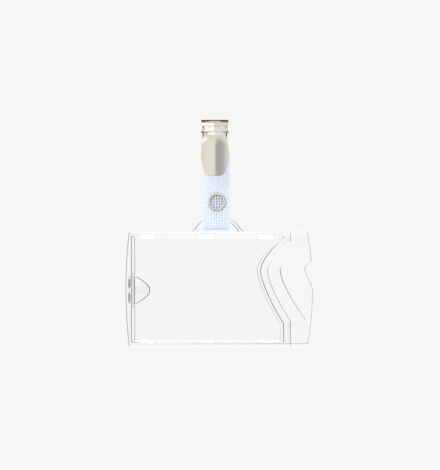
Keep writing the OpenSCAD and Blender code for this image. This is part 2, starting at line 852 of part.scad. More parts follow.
module d_loop() {
    section = [
        [loop_r - loop_w, -loop_t / 2], [loop_r, -loop_t / 2],
        [loop_r, loop_t / 2], [loop_r - loop_w, loop_t / 2]
    ];
    // The legs run into the wall below the holder's top edge
    root = wall_h / 2;
    intersection() {
        translate([loop_shift, bight_y, loop_z])
            rotate([90, 0, 0])
                rotate_extrude() polygon(rounded(section, loop_edge));
        translate([loop_shift - 2 * loop_r, bight_y - loop_t, holder_top - root])
            cube([4 * loop_r, 2 * loop_t, 2 * loop_r]);
    }
}

module holder_back_shell() {
    foot_front = floor_front - card_room - finger_t;
    color(clear)
    difference() {
        union() {
            difference() {
                plate(wall_front, holder_y + holder_t) holder_outline();
                plate(wall_front - over, floor_front)
                    translate([pocket_left, pocket_bottom]) square([2 * card_w, card_h]);
                plate(floor_front - over, floor_front + recess_deep)
                    difference() {
                        translate([card_right - card_w / 2, pocket_bottom]) square([card_w, card_h]);
                        left_of(recess_x, recess_sweep, recess_rise, edge_fall);
                    }
            }
            lug_feet(foot_front);
            lug_row(holder_y + lug_fit, foot_front + finger_t, lug_fit);
            bar_posts();
            d_loop();
        }
        plate(wall_front - over, holder_y + holder_t + over) bar_slits();
        bar_bore();
    }
}

// Ledges that carry the lugs out from the walls over the card's edges
module lug_feet(foot_front) {
    for (i = [0:2])
        for (side = [-1, 1])
            plate(wall_front, foot_front + finger_t)
                translate([
                    pocket_left + lug_start + i * lug_pitch,
                    holder_mid + side * (card_h / 2 + wall_h / 4 - slot_h / 2)
                ])
                    square([slot_len - slot_h, slot_h + wall_h / 2], center = true);
}

module bar_posts() {
    for (side = [-1, 1])
        plate(wall_front, floor_front + over)
            translate([pocket_left + bar_d / 2, finger_z + side * (bar_len - post_h) / 2])
                square([2 * bar_d, post_h], center = true);
}

module bar_bore() {
    translate([bar_x, bar_y, finger_z])
        cylinder(d = bar_d + 2 * pin_fit, h = bar_len + lug_fit, center = true);
}

module holder_front_cover() {
    frame_top = holder_top - window_frame;
    frame_bottom = holder_bottom + window_frame;
    window_x = edge_x - window_in + window_step;
    color(clear)
    difference() {
        plate(holder_y, cover_back)
            intersection() {
                holder_outline();
                left_of(edge_x, edge_sweep, edge_rise, edge_fall);
            }
        for (step = [1, 2])
            plate(holder_y - over, holder_y + window_deep * step)
                intersection() {
                    left_of(
                        window_x - window_step * step, edge_sweep,
                        edge_rise + window_more_up, edge_fall + window_more_down
                    );
                    translate([pocket_left + window_step * (step - 1), frame_bottom])
                        square([card_w, frame_top - frame_bottom]);
                }
        lug_row(holder_y - over, cover_back + over, 0);
        plate(holder_y - over, cover_back + over) thumb_notch();
        plate(holder_y - over, cover_back + over) bar_slits();
    }
}

// Opening over the finger: flat beside the window's edge and swept in to its deepest point
module thumb_notch() {
    rows = [for (i = [-fine:fine]) notch_h / 2 * i / fine];
    left = pocket_left + window_step;
    polygon([
        [left - lug_fit, finger_z - notch_h / 2],
        for (z = rows) [left + (notch_reach - window_step) * cos(180 * z / notch_h), finger_z + z],
        [left - lug_fit, finger_z + notch_h / 2]
    ]);
}

module card_finger() {
    ramp_len = finger_reach / 3;
    tip_x = pocket_left + finger_reach;
    front = bar_y - finger_t / 2;
    color(clear)
    union() {
        translate([bar_x, bar_y, finger_z]) cylinder(d = bar_d, h = bar_len, center = true);
        translate([0, 0, finger_z])
            linear_extrude(finger_h, center = true)
                polygon([
                    [bar_x, front], [tip_x - ramp_len, front], [tip_x, front + finger_t / 2],
                    [tip_x, front + finger_t], [bar_x, front + finger_t]
                ]);
    }
}

clip_rear_plate();
clip_lever();
clip_pivot_pin();
clip_spring();
strap_rivet();
strap_washer();
strap_tab();
strap_rear();
strap_flap();
snap_front_ring();
snap_socket();
snap_spring();
snap_stud();
snap_rear_ring();
holder_back_shell();
holder_front_cover();
card_finger();
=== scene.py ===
import math

import bmesh
import bpy
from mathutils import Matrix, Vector
from mathutils.geometry import tessellate_polygon


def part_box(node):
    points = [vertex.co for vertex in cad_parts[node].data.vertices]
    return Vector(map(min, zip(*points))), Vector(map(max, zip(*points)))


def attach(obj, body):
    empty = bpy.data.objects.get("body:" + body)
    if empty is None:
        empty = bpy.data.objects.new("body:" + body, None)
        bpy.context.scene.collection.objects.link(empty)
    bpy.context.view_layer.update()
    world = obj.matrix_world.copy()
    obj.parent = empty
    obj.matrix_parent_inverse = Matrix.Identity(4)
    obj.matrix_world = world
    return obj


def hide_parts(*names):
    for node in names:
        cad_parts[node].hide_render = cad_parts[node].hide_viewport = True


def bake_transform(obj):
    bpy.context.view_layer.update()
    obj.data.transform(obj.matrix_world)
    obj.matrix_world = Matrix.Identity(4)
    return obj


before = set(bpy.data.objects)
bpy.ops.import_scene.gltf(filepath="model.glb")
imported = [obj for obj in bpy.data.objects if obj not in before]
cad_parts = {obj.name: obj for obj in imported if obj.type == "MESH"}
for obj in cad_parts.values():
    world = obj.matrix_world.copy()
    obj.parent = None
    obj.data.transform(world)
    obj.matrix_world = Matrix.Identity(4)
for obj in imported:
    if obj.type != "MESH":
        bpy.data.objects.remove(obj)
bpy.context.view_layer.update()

MM = 0.001
scene = bpy.context.scene
scene.view_settings.view_transform = "Standard"

# Camera
# The photograph looks straight at the holder's front, level with the strap, from far off.
# The frame is 220.9 mm wide and 235.9 mm high where the object hangs.
PHOTO_MM_PER_PIXEL = 0.502
PHOTO_HIGH_PIXELS = 470
VIEW_HIGH = PHOTO_HIGH_PIXELS * PHOTO_MM_PER_PIXEL * MM
VIEW_MIDDLE = Vector((2.61 * MM, -3.0 * MM, -56.5 * MM))
CAMERA_DISTANCE = 0.9
SENSOR_HIGH = 36.0


def placed(name, data):
    """A new object with this data, linked to the scene."""
    thing = bpy.data.objects.new(name, data)
    scene.collection.objects.link(thing)
    return thing


camera_data = bpy.data.cameras.new("camera")
camera_data.sensor_fit = "VERTICAL"
camera_data.sensor_height = SENSOR_HIGH
camera_data.sensor_width = SENSOR_HIGH
camera_data.lens = SENSOR_HIGH * CAMERA_DISTANCE / VIEW_HIGH
camera = placed("camera", camera_data)
camera.location = VIEW_MIDDLE - Vector((0, CAMERA_DISTANCE, 0))
camera.rotation_euler = (math.radians(90), 0, 0)
scene.camera = camera


# Studio light and floor
# A pale grey room: the camera sees one flat tone, and metal sees a room that is brightest overhead,
# warm at the left, grey at the right and dark in front below. Clear plastic sees the flat tone with
# darker bands at each side, which draw its rounded edges.
class Wire:
    """One node socket. Arithmetic on it adds Math nodes to its tree."""

    def __init__(self, nodes, socket):
        self.nodes = nodes
        self.socket = socket

    def math(self, operation, *values):
        return self.nodes.add("ShaderNodeMath", {"operation": operation}, dict(enumerate(values)))

    def __add__(self, other):
        return self.math("ADD", self, other)

    def __mul__(self, other):
        return self.math("MULTIPLY", self, other)

    def __abs__(self):
        return self.math("ABSOLUTE", self)

    __radd__ = __add__
    __rmul__ = __mul__


class Shader:
    """The node tree of one material or world, with one method that adds any node."""

    def __init__(self, tree):
        self.tree = tree
        tree.nodes.clear()

    def add(self, kind, settings=None, inputs=None, out=0):
        node = self.tree.nodes.new(kind)
        for name, value in (settings or {}).items():
            setattr(node, name, value)
        for name, value in (inputs or {}).items():
            if isinstance(value, Wire):
                self.tree.links.new(value.socket, node.inputs[name])
            else:
                node.inputs[name].default_value = value
        return Wire(self, node.outputs[out]) if node.outputs else None

    def blend(self, factor, first, second):
        """A colour between first and second."""
        return self.add("ShaderNodeMix", {"data_type": "RGBA"}, {0: factor, 6: first, 7: second}, out=2)

    def noise(self, place, scale, detail):
        return self.add("ShaderNodeTexNoise", {}, {"Vector": place, "Scale": scale, "Detail": detail})

    def bump(self, height, strength, distance):
        return self.add("ShaderNodeBump", {}, {"Height": height, "Strength": strength, "Distance": distance})

    def finish(self, surface, kind="ShaderNodeOutputMaterial"):
        self.add(kind, {}, {"Surface": surface})

    def principled(self, sockets):
        self.finish(self.add("ShaderNodeBsdfPrincipled", {}, sockets))


def new_finish(name):
    """A new material and its empty node tree."""
    material = bpy.data.materials.new(name)
    material.use_nodes = True
    return material, Shader(material.node_tree)


def rgba(red, green, blue):
    """A colour written as it shows on screen, 0 to 255, as linear light."""
    shares = [part / 255 for part in (red, green, blue)]
    return (*(s / 12.92 if s <= 0.04045 else ((s + 0.055) / 1.055) ** 2.4 for s in shares), 1.0)


BACKGROUND = rgba(246, 246, 246)
ROOM_LEFT_FAR = rgba(255, 254, 250)
ROOM_LEFT_NEAR = rgba(252, 246, 236)
ROOM_RIGHT_NEAR = rgba(243, 243, 240)
ROOM_RIGHT_FAR = rgba(186, 187, 188)
ROOM_FRONT_BELOW = rgba(96, 84, 66)
ROOM_FRONT_PANEL = (1.05, 1.05, 1.04, 1.0)
ROOM_FRONT_LEFT = (1.40, 1.38, 1.34, 1.0)
ROOM_FRONT_RIGHT = rgba(247, 241, 232)
ROOM_TOP_LEFT = (1.3, 1.35, 1.42, 1.0)
ROOM_TOP_RIGHT = (0.98, 0.95, 0.90, 1.0)
ROOM_BEHIND_TOP = (1.3, 1.3, 1.3, 1.0)
ROOM_FLOOR = rgba(184, 196, 216)
ROOM_BEHIND_LEFT = rgba(118, 120, 130)
ROOM_BEHIND_RIGHT = rgba(84, 86, 96)
ROOM_BEHIND_DEEP = rgba(26, 27, 34)

# Where one tone of the room turns into the next, as X, Y or Z of the direction
LEFT_WALL = (-0.42, -0.12)
RIGHT_WALL = (0.10, 0.40)
WALLS_MEET = (-0.06, 0.06)
TOPS_MEET = (-0.05, 0.05)
WALL_TOP = (0.72, 0.90)
WALL_FOOT = (-0.15, -0.45)
PANEL_LEFT = (-0.07, -0.14)
PANEL_RIGHT = (0.07, 0.14)
PANEL_RIM = (-0.90, -0.96)
ROOM_BACK = (0.0, 0.3)
OVERHEAD = (0.80, 0.92)
BEHIND_TOP = (0.10, 0.30)
LEFT_BAND = ((-0.08, -0.22), (-0.62, -0.45))
LEFT_BAND_TOP = (0.14, 0.0)
RIGHT_BAND = ((0.08, 0.26), (0.60, 0.42))
DEEP_BAND = ((0.35, 0.39), (0.50, 0.46))
FLOOR_RIM = (-0.45, -0.85)
BEHIND_RIM = (0.84, 0.90)

world = bpy.data.worlds.new("pale_room")
scene.world = world
world.use_nodes = True
room = Shader(world.node_tree)
direction = room.add("ShaderNodeTexCoord", out="Generated")
toward_x, toward_y, toward_z = (
    room.add("ShaderNodeSeparateXYZ", {}, {"Vector": direction}, out=axis) for axis in "XYZ"
)


def turn(value, edges):
    """0 before the first edge, 1 past the second, smooth between."""
    return room.add(
        "ShaderNodeMapRange",
        {"interpolation_type": "SMOOTHSTEP"},
        {"Value": value, "From Min": edges[0], "From Max": edges[1]},
    )


def band(value, edges):
    """1 between two pairs of edges, 0 outside them."""
    return turn(value, edges[0]) * turn(value, edges[1])


left_wall = room.blend(turn(toward_x, LEFT_WALL), ROOM_LEFT_FAR, ROOM_LEFT_NEAR)
right_wall = room.blend(turn(toward_x, RIGHT_WALL), ROOM_RIGHT_NEAR, ROOM_RIGHT_FAR)
around = room.blend(turn(toward_x, WALLS_MEET), left_wall, right_wall)
overhead = room.blend(turn(toward_x, TOPS_MEET), ROOM_TOP_LEFT, ROOM_TOP_RIGHT)
around = room.blend(turn(toward_z, WALL_TOP), around, overhead)
around = room.blend(turn(toward_z, WALL_FOOT), around, ROOM_FRONT_BELOW)
panel = room.blend(turn(toward_x, PANEL_LEFT), ROOM_FRONT_PANEL, ROOM_FRONT_LEFT)
panel = room.blend(turn(toward_x, PANEL_RIGHT), panel, ROOM_FRONT_RIGHT)
around = room.blend(turn(toward_y, PANEL_RIM), around, panel)
around = room.blend(turn(toward_y, ROOM_BACK), around, BACKGROUND)
around = room.blend(turn(toward_z, OVERHEAD), around, overhead)

behind = room.blend(turn(abs(toward_z), BEHIND_TOP), BACKGROUND, ROOM_BEHIND_TOP)
low_left = band(toward_x, LEFT_BAND) * turn(toward_z, LEFT_BAND_TOP)
behind = room.blend(low_left, behind, ROOM_BEHIND_LEFT)
behind = room.blend(band(toward_x, RIGHT_BAND), behind, ROOM_BEHIND_RIGHT)
behind = room.blend(band(abs(toward_x), DEEP_BAND), behind, ROOM_BEHIND_DEEP)
through = room.blend(turn(toward_z, FLOOR_RIM), BACKGROUND, ROOM_FLOOR)
through = room.blend(turn(toward_y, BEHIND_RIM), through, behind)

seen = room.blend(room.add("ShaderNodeLightPath", out="Is Transmission Ray"), around, through)
seen = room.blend(room.add("ShaderNodeLightPath", out="Is Camera Ray"), seen, BACKGROUND)
room.finish(room.add("ShaderNodeBackground", {}, {"Color": seen, "Strength": 1.0}), "ShaderNodeOutputWorld")

FLOOR_GREY = rgba(232, 232, 232)
FLOOR_ROUGH = 0.9
FLOOR_RADIUS = 0.4
FLOOR_DROP = 0.27
FLOOR_SIDES = 96
bpy.ops.mesh.primitive_circle_add(
    vertices=FLOOR_SIDES, radius=FLOOR_RADIUS, fill_type="NGON", location=(0, 0, -FLOOR_DROP)
)
floor = bpy.context.object
floor.name = "floor"
floor_paint, paint = new_finish("pale_floor")
paint.principled({"Base Color": FLOOR_GREY, "Roughness": FLOOR_ROUGH})
floor.data.materials.append(floor_paint)
floor.visible_glossy = False

LAMP_PLACE = Vector((-0.25, -0.55, 0.45))
LAMP_SIZE = 0.5
LAMP_WATTS = 2.1
lamp_data = bpy.data.lights.new("soft_lamp", "AREA")
lamp_data.size = LAMP_SIZE
lamp_data.energy = LAMP_WATTS
lamp = placed("soft_lamp", lamp_data)
lamp.location = LAMP_PLACE
lamp.visible_glossy = False
lamp.rotation_euler = (VIEW_MIDDLE - LAMP_PLACE).to_track_quat("-Z", "Y").to_euler()

# Clip rear plate
# One blank of 0.6 mm nickel-plated steel: the rear jaw, two side ears and the tail for the strap.
# It is pressed and bent, and tumbling rounds its cut edges.
PRESSED_EDGE = 0.09 * MM
EDGE_STEPS = 2
ROUND_PAST = 28
CREASE_PAST = 18
FLAT_WITHIN = 0.6
WELD = 0.002 * MM
CUT_WELD = 1e-7
FACING_FRONT = 0.9995


def worked_copy(node, name, edge, press=None):
    """A new piece with a CAD node's shape: its triangles joined, flat faces whole and edges rounded.

    press gives the planes to cut new lines across the sheet, and how far forward its points are bent.
    """
    form = bmesh.new()
    form.from_mesh(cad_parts[node].data)
    bmesh.ops.remove_doubles(form, verts=form.verts, dist=WELD)
    bmesh.ops.dissolve_limit(
        form, angle_limit=math.radians(FLAT_WITHIN), verts=form.verts, edges=form.edges
    )
    if press:
        planes, bend = press
        for place, facing in planes:
            whole = list(form.verts) + list(form.edges) + list(form.faces)
            bmesh.ops.bisect_plane(form, geom=whole, dist=CUT_WELD, plane_co=place, plane_no=facing)
        for point in form.verts:
            point.co.y -= bend(point.co)
    if edge:
        corners = [
            line
            for line in form.edges
            if len(line.link_faces) == 2 and line.calc_face_angle(0) > math.radians(ROUND_PAST)
        ]
        bmesh.ops.bevel(
            form,
            geom=corners,
            offset=edge,
            offset_type="OFFSET",
            segments=EDGE_STEPS,
            profile=0.5,
            affect="EDGES",
            clamp_overlap=False,
        )
    form.normal_update()
    return piece_from(form, name, CREASE_PAST)


def piece_from(form, name, sharp, flat=None):
    """An object from a bmesh: smooth but for edges past sharp degrees, or past flat beside a front face."""
    for face in form.faces:
        face.smooth = True
    for edge in form.edges:
        facing = any(abs(face.normal.y) > FACING_FRONT for face in edge.link_faces)
        limit = flat if flat and facing else sharp
        edge.smooth = len(edge.link_faces) == 2 and edge.calc_face_angle(0) < math.radians(limit)
    mesh = bpy.data.meshes.new(name)
    form.to_mesh(mesh)
    form.free()
    return placed(name, mesh)


NICKEL = rgba(232, 229, 220)
NICKEL_SHADE = rgba(218, 215, 206)
NICKEL_GLOSS = 0.06
DRAW_LINES = (2600.0, 2600.0, 140.0)
LINE_SHARE = 0.2
LINE_DULL = 0.06
LINE_BUMP = 0.06
LINE_DEEP = 0.03 * MM
CLOUD_SCALE = 320.0
CLOUD_SHARE = 0.8
CLOUD_DULL = 0.04


def nickel_plate(name, light, shade, gloss):
    """Bright nickel plating: fine draw lines down the sheet and cloudy handling marks in the gloss."""
    material, plate = new_finish(name)
    place = plate.add("ShaderNodeTexCoord", out="Object")
    along = plate.add("ShaderNodeMapping", {}, {"Vector": place, "Scale": DRAW_LINES})
    lines = plate.noise(along, 1.0, 3.0)
    clouds = plate.noise(place, CLOUD_SCALE, 4.0)
    plate.principled(
        {
            "Base Color": plate.blend(clouds * CLOUD_SHARE + lines * LINE_SHARE, shade, light),
            "Metallic": 1.0,
            "Roughness": gloss + lines * LINE_DULL + clouds * CLOUD_DULL,
            "Normal": plate.bump(lines, LINE_BUMP, LINE_DEEP),
        }
    )
    return material


def coat(piece, material):
    """Give a piece this material alone."""
    piece.data.materials.clear()
    piece.data.materials.append(material)


def place_piece(piece, body, material, slot, *nodes):
    """Give a finished piece its material and body, and hide the nodes that it stands for. The slot is not
    used.
    """
    coat(piece, material)
    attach(piece, body)
    if nodes:
        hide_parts(*nodes)


LIP_LEAN = 0.40
LIP_MIDDLE_SHARE = 0.55
LIP_MIDDLE = 2.3 * MM
LIP_SIDE = 3.0 * MM


def lean_forward(point):
    """The rear jaw's lip leans over the front jaw, less in its middle."""
    share = min(max((abs(point.x) - LIP_MIDDLE) / (LIP_SIDE - LIP_MIDDLE), 0.0), 1.0)
    return max(point.z, 0.0) * LIP_LEAN * (LIP_MIDDLE_SHARE + (1 - LIP_MIDDLE_SHARE) * share)


nickel = nickel_plate("bright_nickel", NICKEL, NICKEL_SHADE, NICKEL_GLOSS)
lip_lines = [((side * x, 0, 0), (1, 0, 0)) for side in (-1, 1) for x in (LIP_MIDDLE, LIP_SIDE)]
lip_lines.append(((0, 0, 0), (0, 0, 1)))
rear_plate = worked_copy("clip_rear_plate", "clip_rear_sheet", PRESSED_EDGE, (lip_lines, lean_forward))
place_piece(rear_plate, "clip", nickel, "nickel", "clip_rear_plate")

# Thumb lever
# The front jaw, neck and ridged thumb pad, pressed from one piece of the same nickel-plated sheet.
# Its inner ears turn on the pivot pin.
SHEET = 0.6 * MM
JAW_FOLD = 0.6 * MM
JAW_HALF = 6.9 * MM
JAW_LOW = -5.2 * MM
JAW_TAPER = 2.5
SEAM_HALF = 0.12 * MM
SEAM_SIDE = 0.26 * MM
SEAM_DEEP = 0.35 * MM
BEND_FRONT = -5.2 * MM
BEND_HEIGHT = -4.9 * MM
PAD_SLOPE = math.tan(math.radians(18))
PAD_HALF = 6.9 * MM
PAD_LONG = 21.0 * MM
RIDGE_HIGH = 1.1 * MM
RIDGE_SOFT = 0.6 * MM
FLANK_CURVE = 1.6
RIDGE_START = 7.0 * MM
RIDGE_CUTS = 9
ROLL_LONG = 2.6 * MM
ROLL_OUT = 0.7 * MM
ROLL_CUTS = 6


def pad_flank(x):
    """How far the thumb pad's sheet lies behind its ridge at x."""
    run, widest = (math.hypot(reach, RIDGE_SOFT) - RIDGE_SOFT for reach in (x, PAD_HALF))
    return RIDGE_HIGH * (1 - max(0.0, 1 - run / widest) ** FLANK_CURVE)


def press_lever(point):
    """How far forward a point of the lever is pressed.

    The jaw is folded down its middle with a seam in the fold. The pad rolls forward below the bend, and
    its ridge grows over the stretch RIDGE_START.
    """
    below = BEND_HEIGHT - point.z
    behind_bend = point.y - BEND_FRONT + below * PAD_SLOPE
    flank = pad_flank(point.x)
    if below > 0 and abs(behind_bend - flank) < SHEET:
        share = min(below / RIDGE_START, 1.0)
        rolled = 1 - (1 - min(below / ROLL_LONG, 1.0)) ** 2
        rolled *= ROLL_OUT * max(0.0, 1 - below / PAD_LONG)
        return flank * (1 - share * share * (3 - 2 * share)) + rolled
    down = min(max(JAW_TAPER * (1 - point.z / JAW_LOW), 0.0), 1.0)
    seam = SEAM_DEEP if abs(point.x) < (SEAM_HALF + SEAM_SIDE) / 2 else 0.0
    return (JAW_FOLD * (1 - abs(point.x) / JAW_HALF) - seam) * down


jaw_lines = [((side * x, 0, 0), (1, 0, 0)) for side in (-1, 1) for x in (SEAM_HALF, SEAM_SIDE)]
for reach, cuts in ((RIDGE_START, RIDGE_CUTS), (ROLL_LONG, ROLL_CUTS)):
    jaw_lines += [((0, 0, BEND_HEIGHT - reach * i / cuts), (0, 0, 1)) for i in range(1, cuts + 1)]
lever_sheet = worked_copy("clip_lever", "thumb_lever_sheet", PRESSED_EDGE, (jaw_lines, press_lever))
place_piece(lever_sheet, "lever", nickel, "nickel", "clip_lever")

# Pivot pin and torsion spring
# A plain nickel-plated pin with upset heads, and a coil of spring wire round it that shuts the jaws.
# The wire is drawn steel, darker and less bright than the plating.
PIN_EDGE = 0.12 * MM
SPRING_STEEL = rgba(186, 186, 182)
SPRING_SHADE = rgba(150, 150, 148)
SPRING_GLOSS = 0.22

pin = worked_copy("clip_pivot_pin", "pivot_pin_upset", PIN_EDGE)
place_piece(pin, "clip", nickel, "nickel", "clip_pivot_pin")
spring_steel = nickel_plate("drawn_spring_steel", SPRING_STEEL, SPRING_SHADE, SPRING_GLOSS)
coat(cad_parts["clip_spring"], spring_steel)

# Strap rivet and washer
# A nickel-plated rivet through the strap and the clip's tail, its head on the strap and its end set
# over a thin washer behind. The strap turns on its shank.
RIVET_EDGE = 0.1 * MM
for node, name in (("strap_rivet", "strap_rivet_set"), ("strap_washer", "strap_washer_flat")):
    place_piece(worked_copy(node, name, RIVET_EDGE), "clip", nickel, "nickel", node)

# Vinyl strap
# A 12.7 mm strip of soft clear vinyl with an open-weave thread scrim sealed inside it. It runs down
# behind the lever, round the holder's D-loop and up the front, where the snap shuts it.
STRIP_COLUMNS = 20
STRIP_STEP = 0.5 * MM
STRIP_CREASE = 50
EDGE_IN = 0.35
EDGE_FLAT = 0.5

tab_low, tab_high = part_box("strap_tab")
rear_low, rear_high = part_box("strap_rear")
flap_low, flap_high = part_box("strap_flap")
STRAP_X = (rear_low[0] + rear_high[0]) / 2
STRAP_WIDE = rear_high[0] - rear_low[0]
VINYL_THICK = tab_high[1] - tab_low[1]
STRAP_TOP = tab_high[2]
REAR_Y = (tab_low[1] + tab_high[1]) / 2
FLAP_Y = flap_low[1] + VINYL_THICK / 2
BIGHT_RADIUS = (REAR_Y - FLAP_Y) / 2
BIGHT_Y = (REAR_Y + FLAP_Y) / 2
BIGHT_Z = rear_low[2] + BIGHT_RADIUS + VINYL_THICK / 2
REAR_LONG = STRAP_TOP - BIGHT_Z
BIGHT_LONG = math.pi * BIGHT_RADIUS
STRAP_LONG = REAR_LONG + BIGHT_LONG + flap_high[2] - BIGHT_Z


def along_strap(run, lift):
    """The Y and Z of a point on the strap: run from its top end, lift towards its outer side."""
    if run < REAR_LONG:
        return REAR_Y + lift, STRAP_TOP - run
    if run < REAR_LONG + BIGHT_LONG:
        angle = (run - REAR_LONG) / BIGHT_RADIUS
        reach = BIGHT_RADIUS + lift
        return BIGHT_Y + reach * math.cos(angle), BIGHT_Z - reach * math.sin(angle)
    return FLAP_Y - lift, BIGHT_Z + run - REAR_LONG - BIGHT_LONG


def vinyl_strip(name, start, end):
    """A closed strip of vinyl between two runs along the strap, its long edges rounded by the die."""
    rows = max(2, math.ceil((end - start) / STRIP_STEP))
    half = VINYL_THICK / 2
    side = STRAP_WIDE / 2
    flat = side - half * EDGE_IN
    section = [(flat * (2 * column / STRIP_COLUMNS - 1), half) for column in range(STRIP_COLUMNS + 1)]
    section += [(side, half * EDGE_FLAT), (side, -half * EDGE_FLAT)]
    ring = section + [(-x, -lift) for x, lift in section]
    form = bmesh.new()
    loops = []
    for row in range(rows + 1):
        run = start + (end - start) * row / rows
        loops.append([form.verts.new((STRAP_X + x, *along_strap(run, lift))) for x, lift in ring])
    for lower, upper in zip(loops, loops[1:]):
        for index in range(len(ring)):
            after = (index + 1) % len(ring)
            form.faces.new((lower[index], lower[after], upper[after], upper[index]))
    form.faces.new(list(reversed(loops[0])))
    form.faces.new(loops[-1])
    bmesh.ops.recalc_face_normals(form, faces=form.faces)
    form.normal_update()
    return piece_from(form, name, STRIP_CREASE)


class Weave:
    """A Geometry Nodes tree with one method that adds any node and links its sockets."""

    def __init__(self, name):
        self.tree = bpy.data.node_groups.new(name, "GeometryNodeTree")
        self.tree.interface.new_socket("Geometry", in_out="OUTPUT", socket_type="NodeSocketGeometry")

    def size(self, name, kind="NodeSocketFloat"):
        return self.tree.interface.new_socket(name, in_out="INPUT", socket_type=kind).identifier

    def add(self, kind, settings=None, inputs=None):
        node = self.tree.nodes.new(kind)
        for name, value in (settings or {}).items():
            setattr(node, name, value)
        for name, value in (inputs or {}).items():
            if isinstance(value, bpy.types.NodeSocket):
                self.tree.links.new(value, node.inputs[name])
            elif isinstance(value, list):
                for one in value:
                    self.tree.links.new(one, node.inputs[name])
            else:
                node.inputs[name].default_value = value
        return node.outputs

    def times(self, value, factor):
        return self.add("ShaderNodeMath", {"operation": "MULTIPLY"}, {0: value, 1: factor})[0]

    def evaluate(self, name, values):
        """Run the tree on an empty object and return its result as a plain mesh object."""
        carrier = placed(name, bpy.data.meshes.new(name))
        modifier = carrier.modifiers.new(self.tree.name, "NODES")
        modifier.node_group = self.tree
        for identifier, value in values.items():
            modifier[identifier] = value
        graph = bpy.context.evaluated_depsgraph_get()
        mesh = bpy.data.meshes.new_from_object(carrier.evaluated_get(graph))
        bpy.data.objects.remove(carrier)
        return placed(name, mesh)


THREAD_PITCH = 1.35 * MM
THREAD_RADIUS = 0.22 * MM
THREAD_SIDES = 6
THREAD_LIFT = 0.06 * MM
WEFT_SHARE = 0.55
WARP_POINTS = 96
WEFT_POINTS = 24
SELVEDGE = 0.45 * MM
WARP_COUNT = round((STRAP_WIDE - 2 * SELVEDGE) / THREAD_PITCH) + 1
WEFT_LONG = (WARP_COUNT - 1) * THREAD_PITCH


def thread_scrim(material):
    """The weave tree: round warp threads along Y and thinner weft threads along X."""
    weave = Weave("thread_scrim")
    names = ["Warp Length", "Weft Length", "Pitch", "Thread Radius", "Lift", "Margin"]
    sizes = {name: weave.size(name) for name in names}
    counts = {name: weave.size(name, "NodeSocketInt") for name in ("Warp Count", "Weft Count")}
    given = weave.add("NodeGroupInput")
    layers = []
    for thread, side, thick, points, run, spread in (
        ("Warp", 1.0, 1.0, WARP_POINTS, "Y", "X"),
        ("Weft", -1.0, WEFT_SHARE, WEFT_POINTS, "X", "Y"),
    ):
        radius = weave.times(given["Thread Radius"], thick)
        round_thread = weave.add(
            "GeometryNodeCurvePrimitiveCircle", {}, {"Resolution": THREAD_SIDES, "Radius": radius}
        )
        end = weave.add("ShaderNodeCombineXYZ", {}, {run: given[thread + " Length"]})
        line = weave.add("GeometryNodeCurvePrimitiveLine", {}, {"End": end[0]})
        fine = weave.add("GeometryNodeResampleCurve", {}, {"Curve": line["Curve"], "Count": points})
        start = {"Z": weave.times(given["Lift"], side)}
        if thread == "Weft":
            start["Y"] = given["Margin"]
        first = weave.add("ShaderNodeCombineXYZ", {}, start)
        step = weave.add("ShaderNodeCombineXYZ", {}, {spread: given["Pitch"]})
        places = weave.add(
            "GeometryNodeMeshLine",
            {},
            {"Count": given[thread + " Count"], "Start Location": first[0], "Offset": step[0]},
        )
        laid = weave.add(
            "GeometryNodeInstanceOnPoints", {}, {"Points": places["Mesh"], "Instance": fine["Curve"]}
        )
        tubes = weave.add(
            "GeometryNodeCurveToMesh",
            {},
            {"Curve": laid["Instances"], "Profile Curve": round_thread["Curve"], "Fill Caps": True},
        )
        layers.append(tubes["Mesh"])
    joined = weave.add("GeometryNodeJoinGeometry", {}, {"Geometry": layers})
    real = weave.add("GeometryNodeRealizeInstances", {}, {"Geometry": joined["Geometry"]})
    painted = weave.add("GeometryNodeSetMaterial", {}, {"Geometry": real["Geometry"], "Material": material})
    weave.add("NodeGroupOutput", {}, {"Geometry": painted["Geometry"]})
    return weave, sizes, counts


VINYL_TINT = rgba(236, 244, 253)
VINYL_SHADE = rgba(226, 237, 251)
VINYL_DULL = 0.22
VINYL_SOLID = 0.14
HAZE_SCALE = 420.0
HAZE_DULL = 0.16
HAZE_SOLID = 0.08
GRAIN_SCALE = 1500.0
GRAIN_BUMP = 0.03
GRAIN_DEEP = 0.04 * MM


def clear_vinyl():
    """Soft clear vinyl: faint blue, see-through, with a fine grain in its gloss."""
    material, sheet = new_finish("clear_soft_vinyl")
    place = sheet.add("ShaderNodeTexCoord", out="Object")
    haze = sheet.noise(place, HAZE_SCALE, 3.0)
    grain = sheet.noise(place, GRAIN_SCALE, 2.0)
    sheet.principled(
        {
            "Base Color": sheet.blend(haze, VINYL_TINT, VINYL_SHADE),
            "Roughness": VINYL_DULL + haze * HAZE_DULL,
            "Alpha": VINYL_SOLID + haze * HAZE_SOLID,
            "Normal": sheet.bump(grain, GRAIN_BUMP, GRAIN_DEEP),
        }
    )
    return material


THREAD_BLUE = rgba(214, 226, 245)
THREAD_WHITE = rgba(228, 237, 250)
THREAD_PAINTED_GLOW = 0.34
THREAD_DULL = 0.55
FIBRE_SCALE = 2200.0
FIBRE_DULL = 0.2


def scrim_thread():
    """White-blue spun thread, its tone uneven from fibre to fibre, with a painted glow for light passing
    through it.
    """
    material, yarn = new_finish("scrim_thread")
    fibre = yarn.noise(yarn.add("ShaderNodeTexCoord", out="Object"), FIBRE_SCALE, 2.0)
    yarn.principled(
        {
            "Base Color": yarn.blend(fibre, THREAD_BLUE, THREAD_WHITE),
            "Roughness": THREAD_DULL + fibre * FIBRE_DULL,
            # The emission is painted light: a glow standing in for light shining through the yarn.
            "Emission Color": THREAD_BLUE,
            "Emission Strength": THREAD_PAINTED_GLOW,
        }
    )
    return material


vinyl = clear_vinyl()
weave, weave_sizes, weave_counts = thread_scrim(scrim_thread())


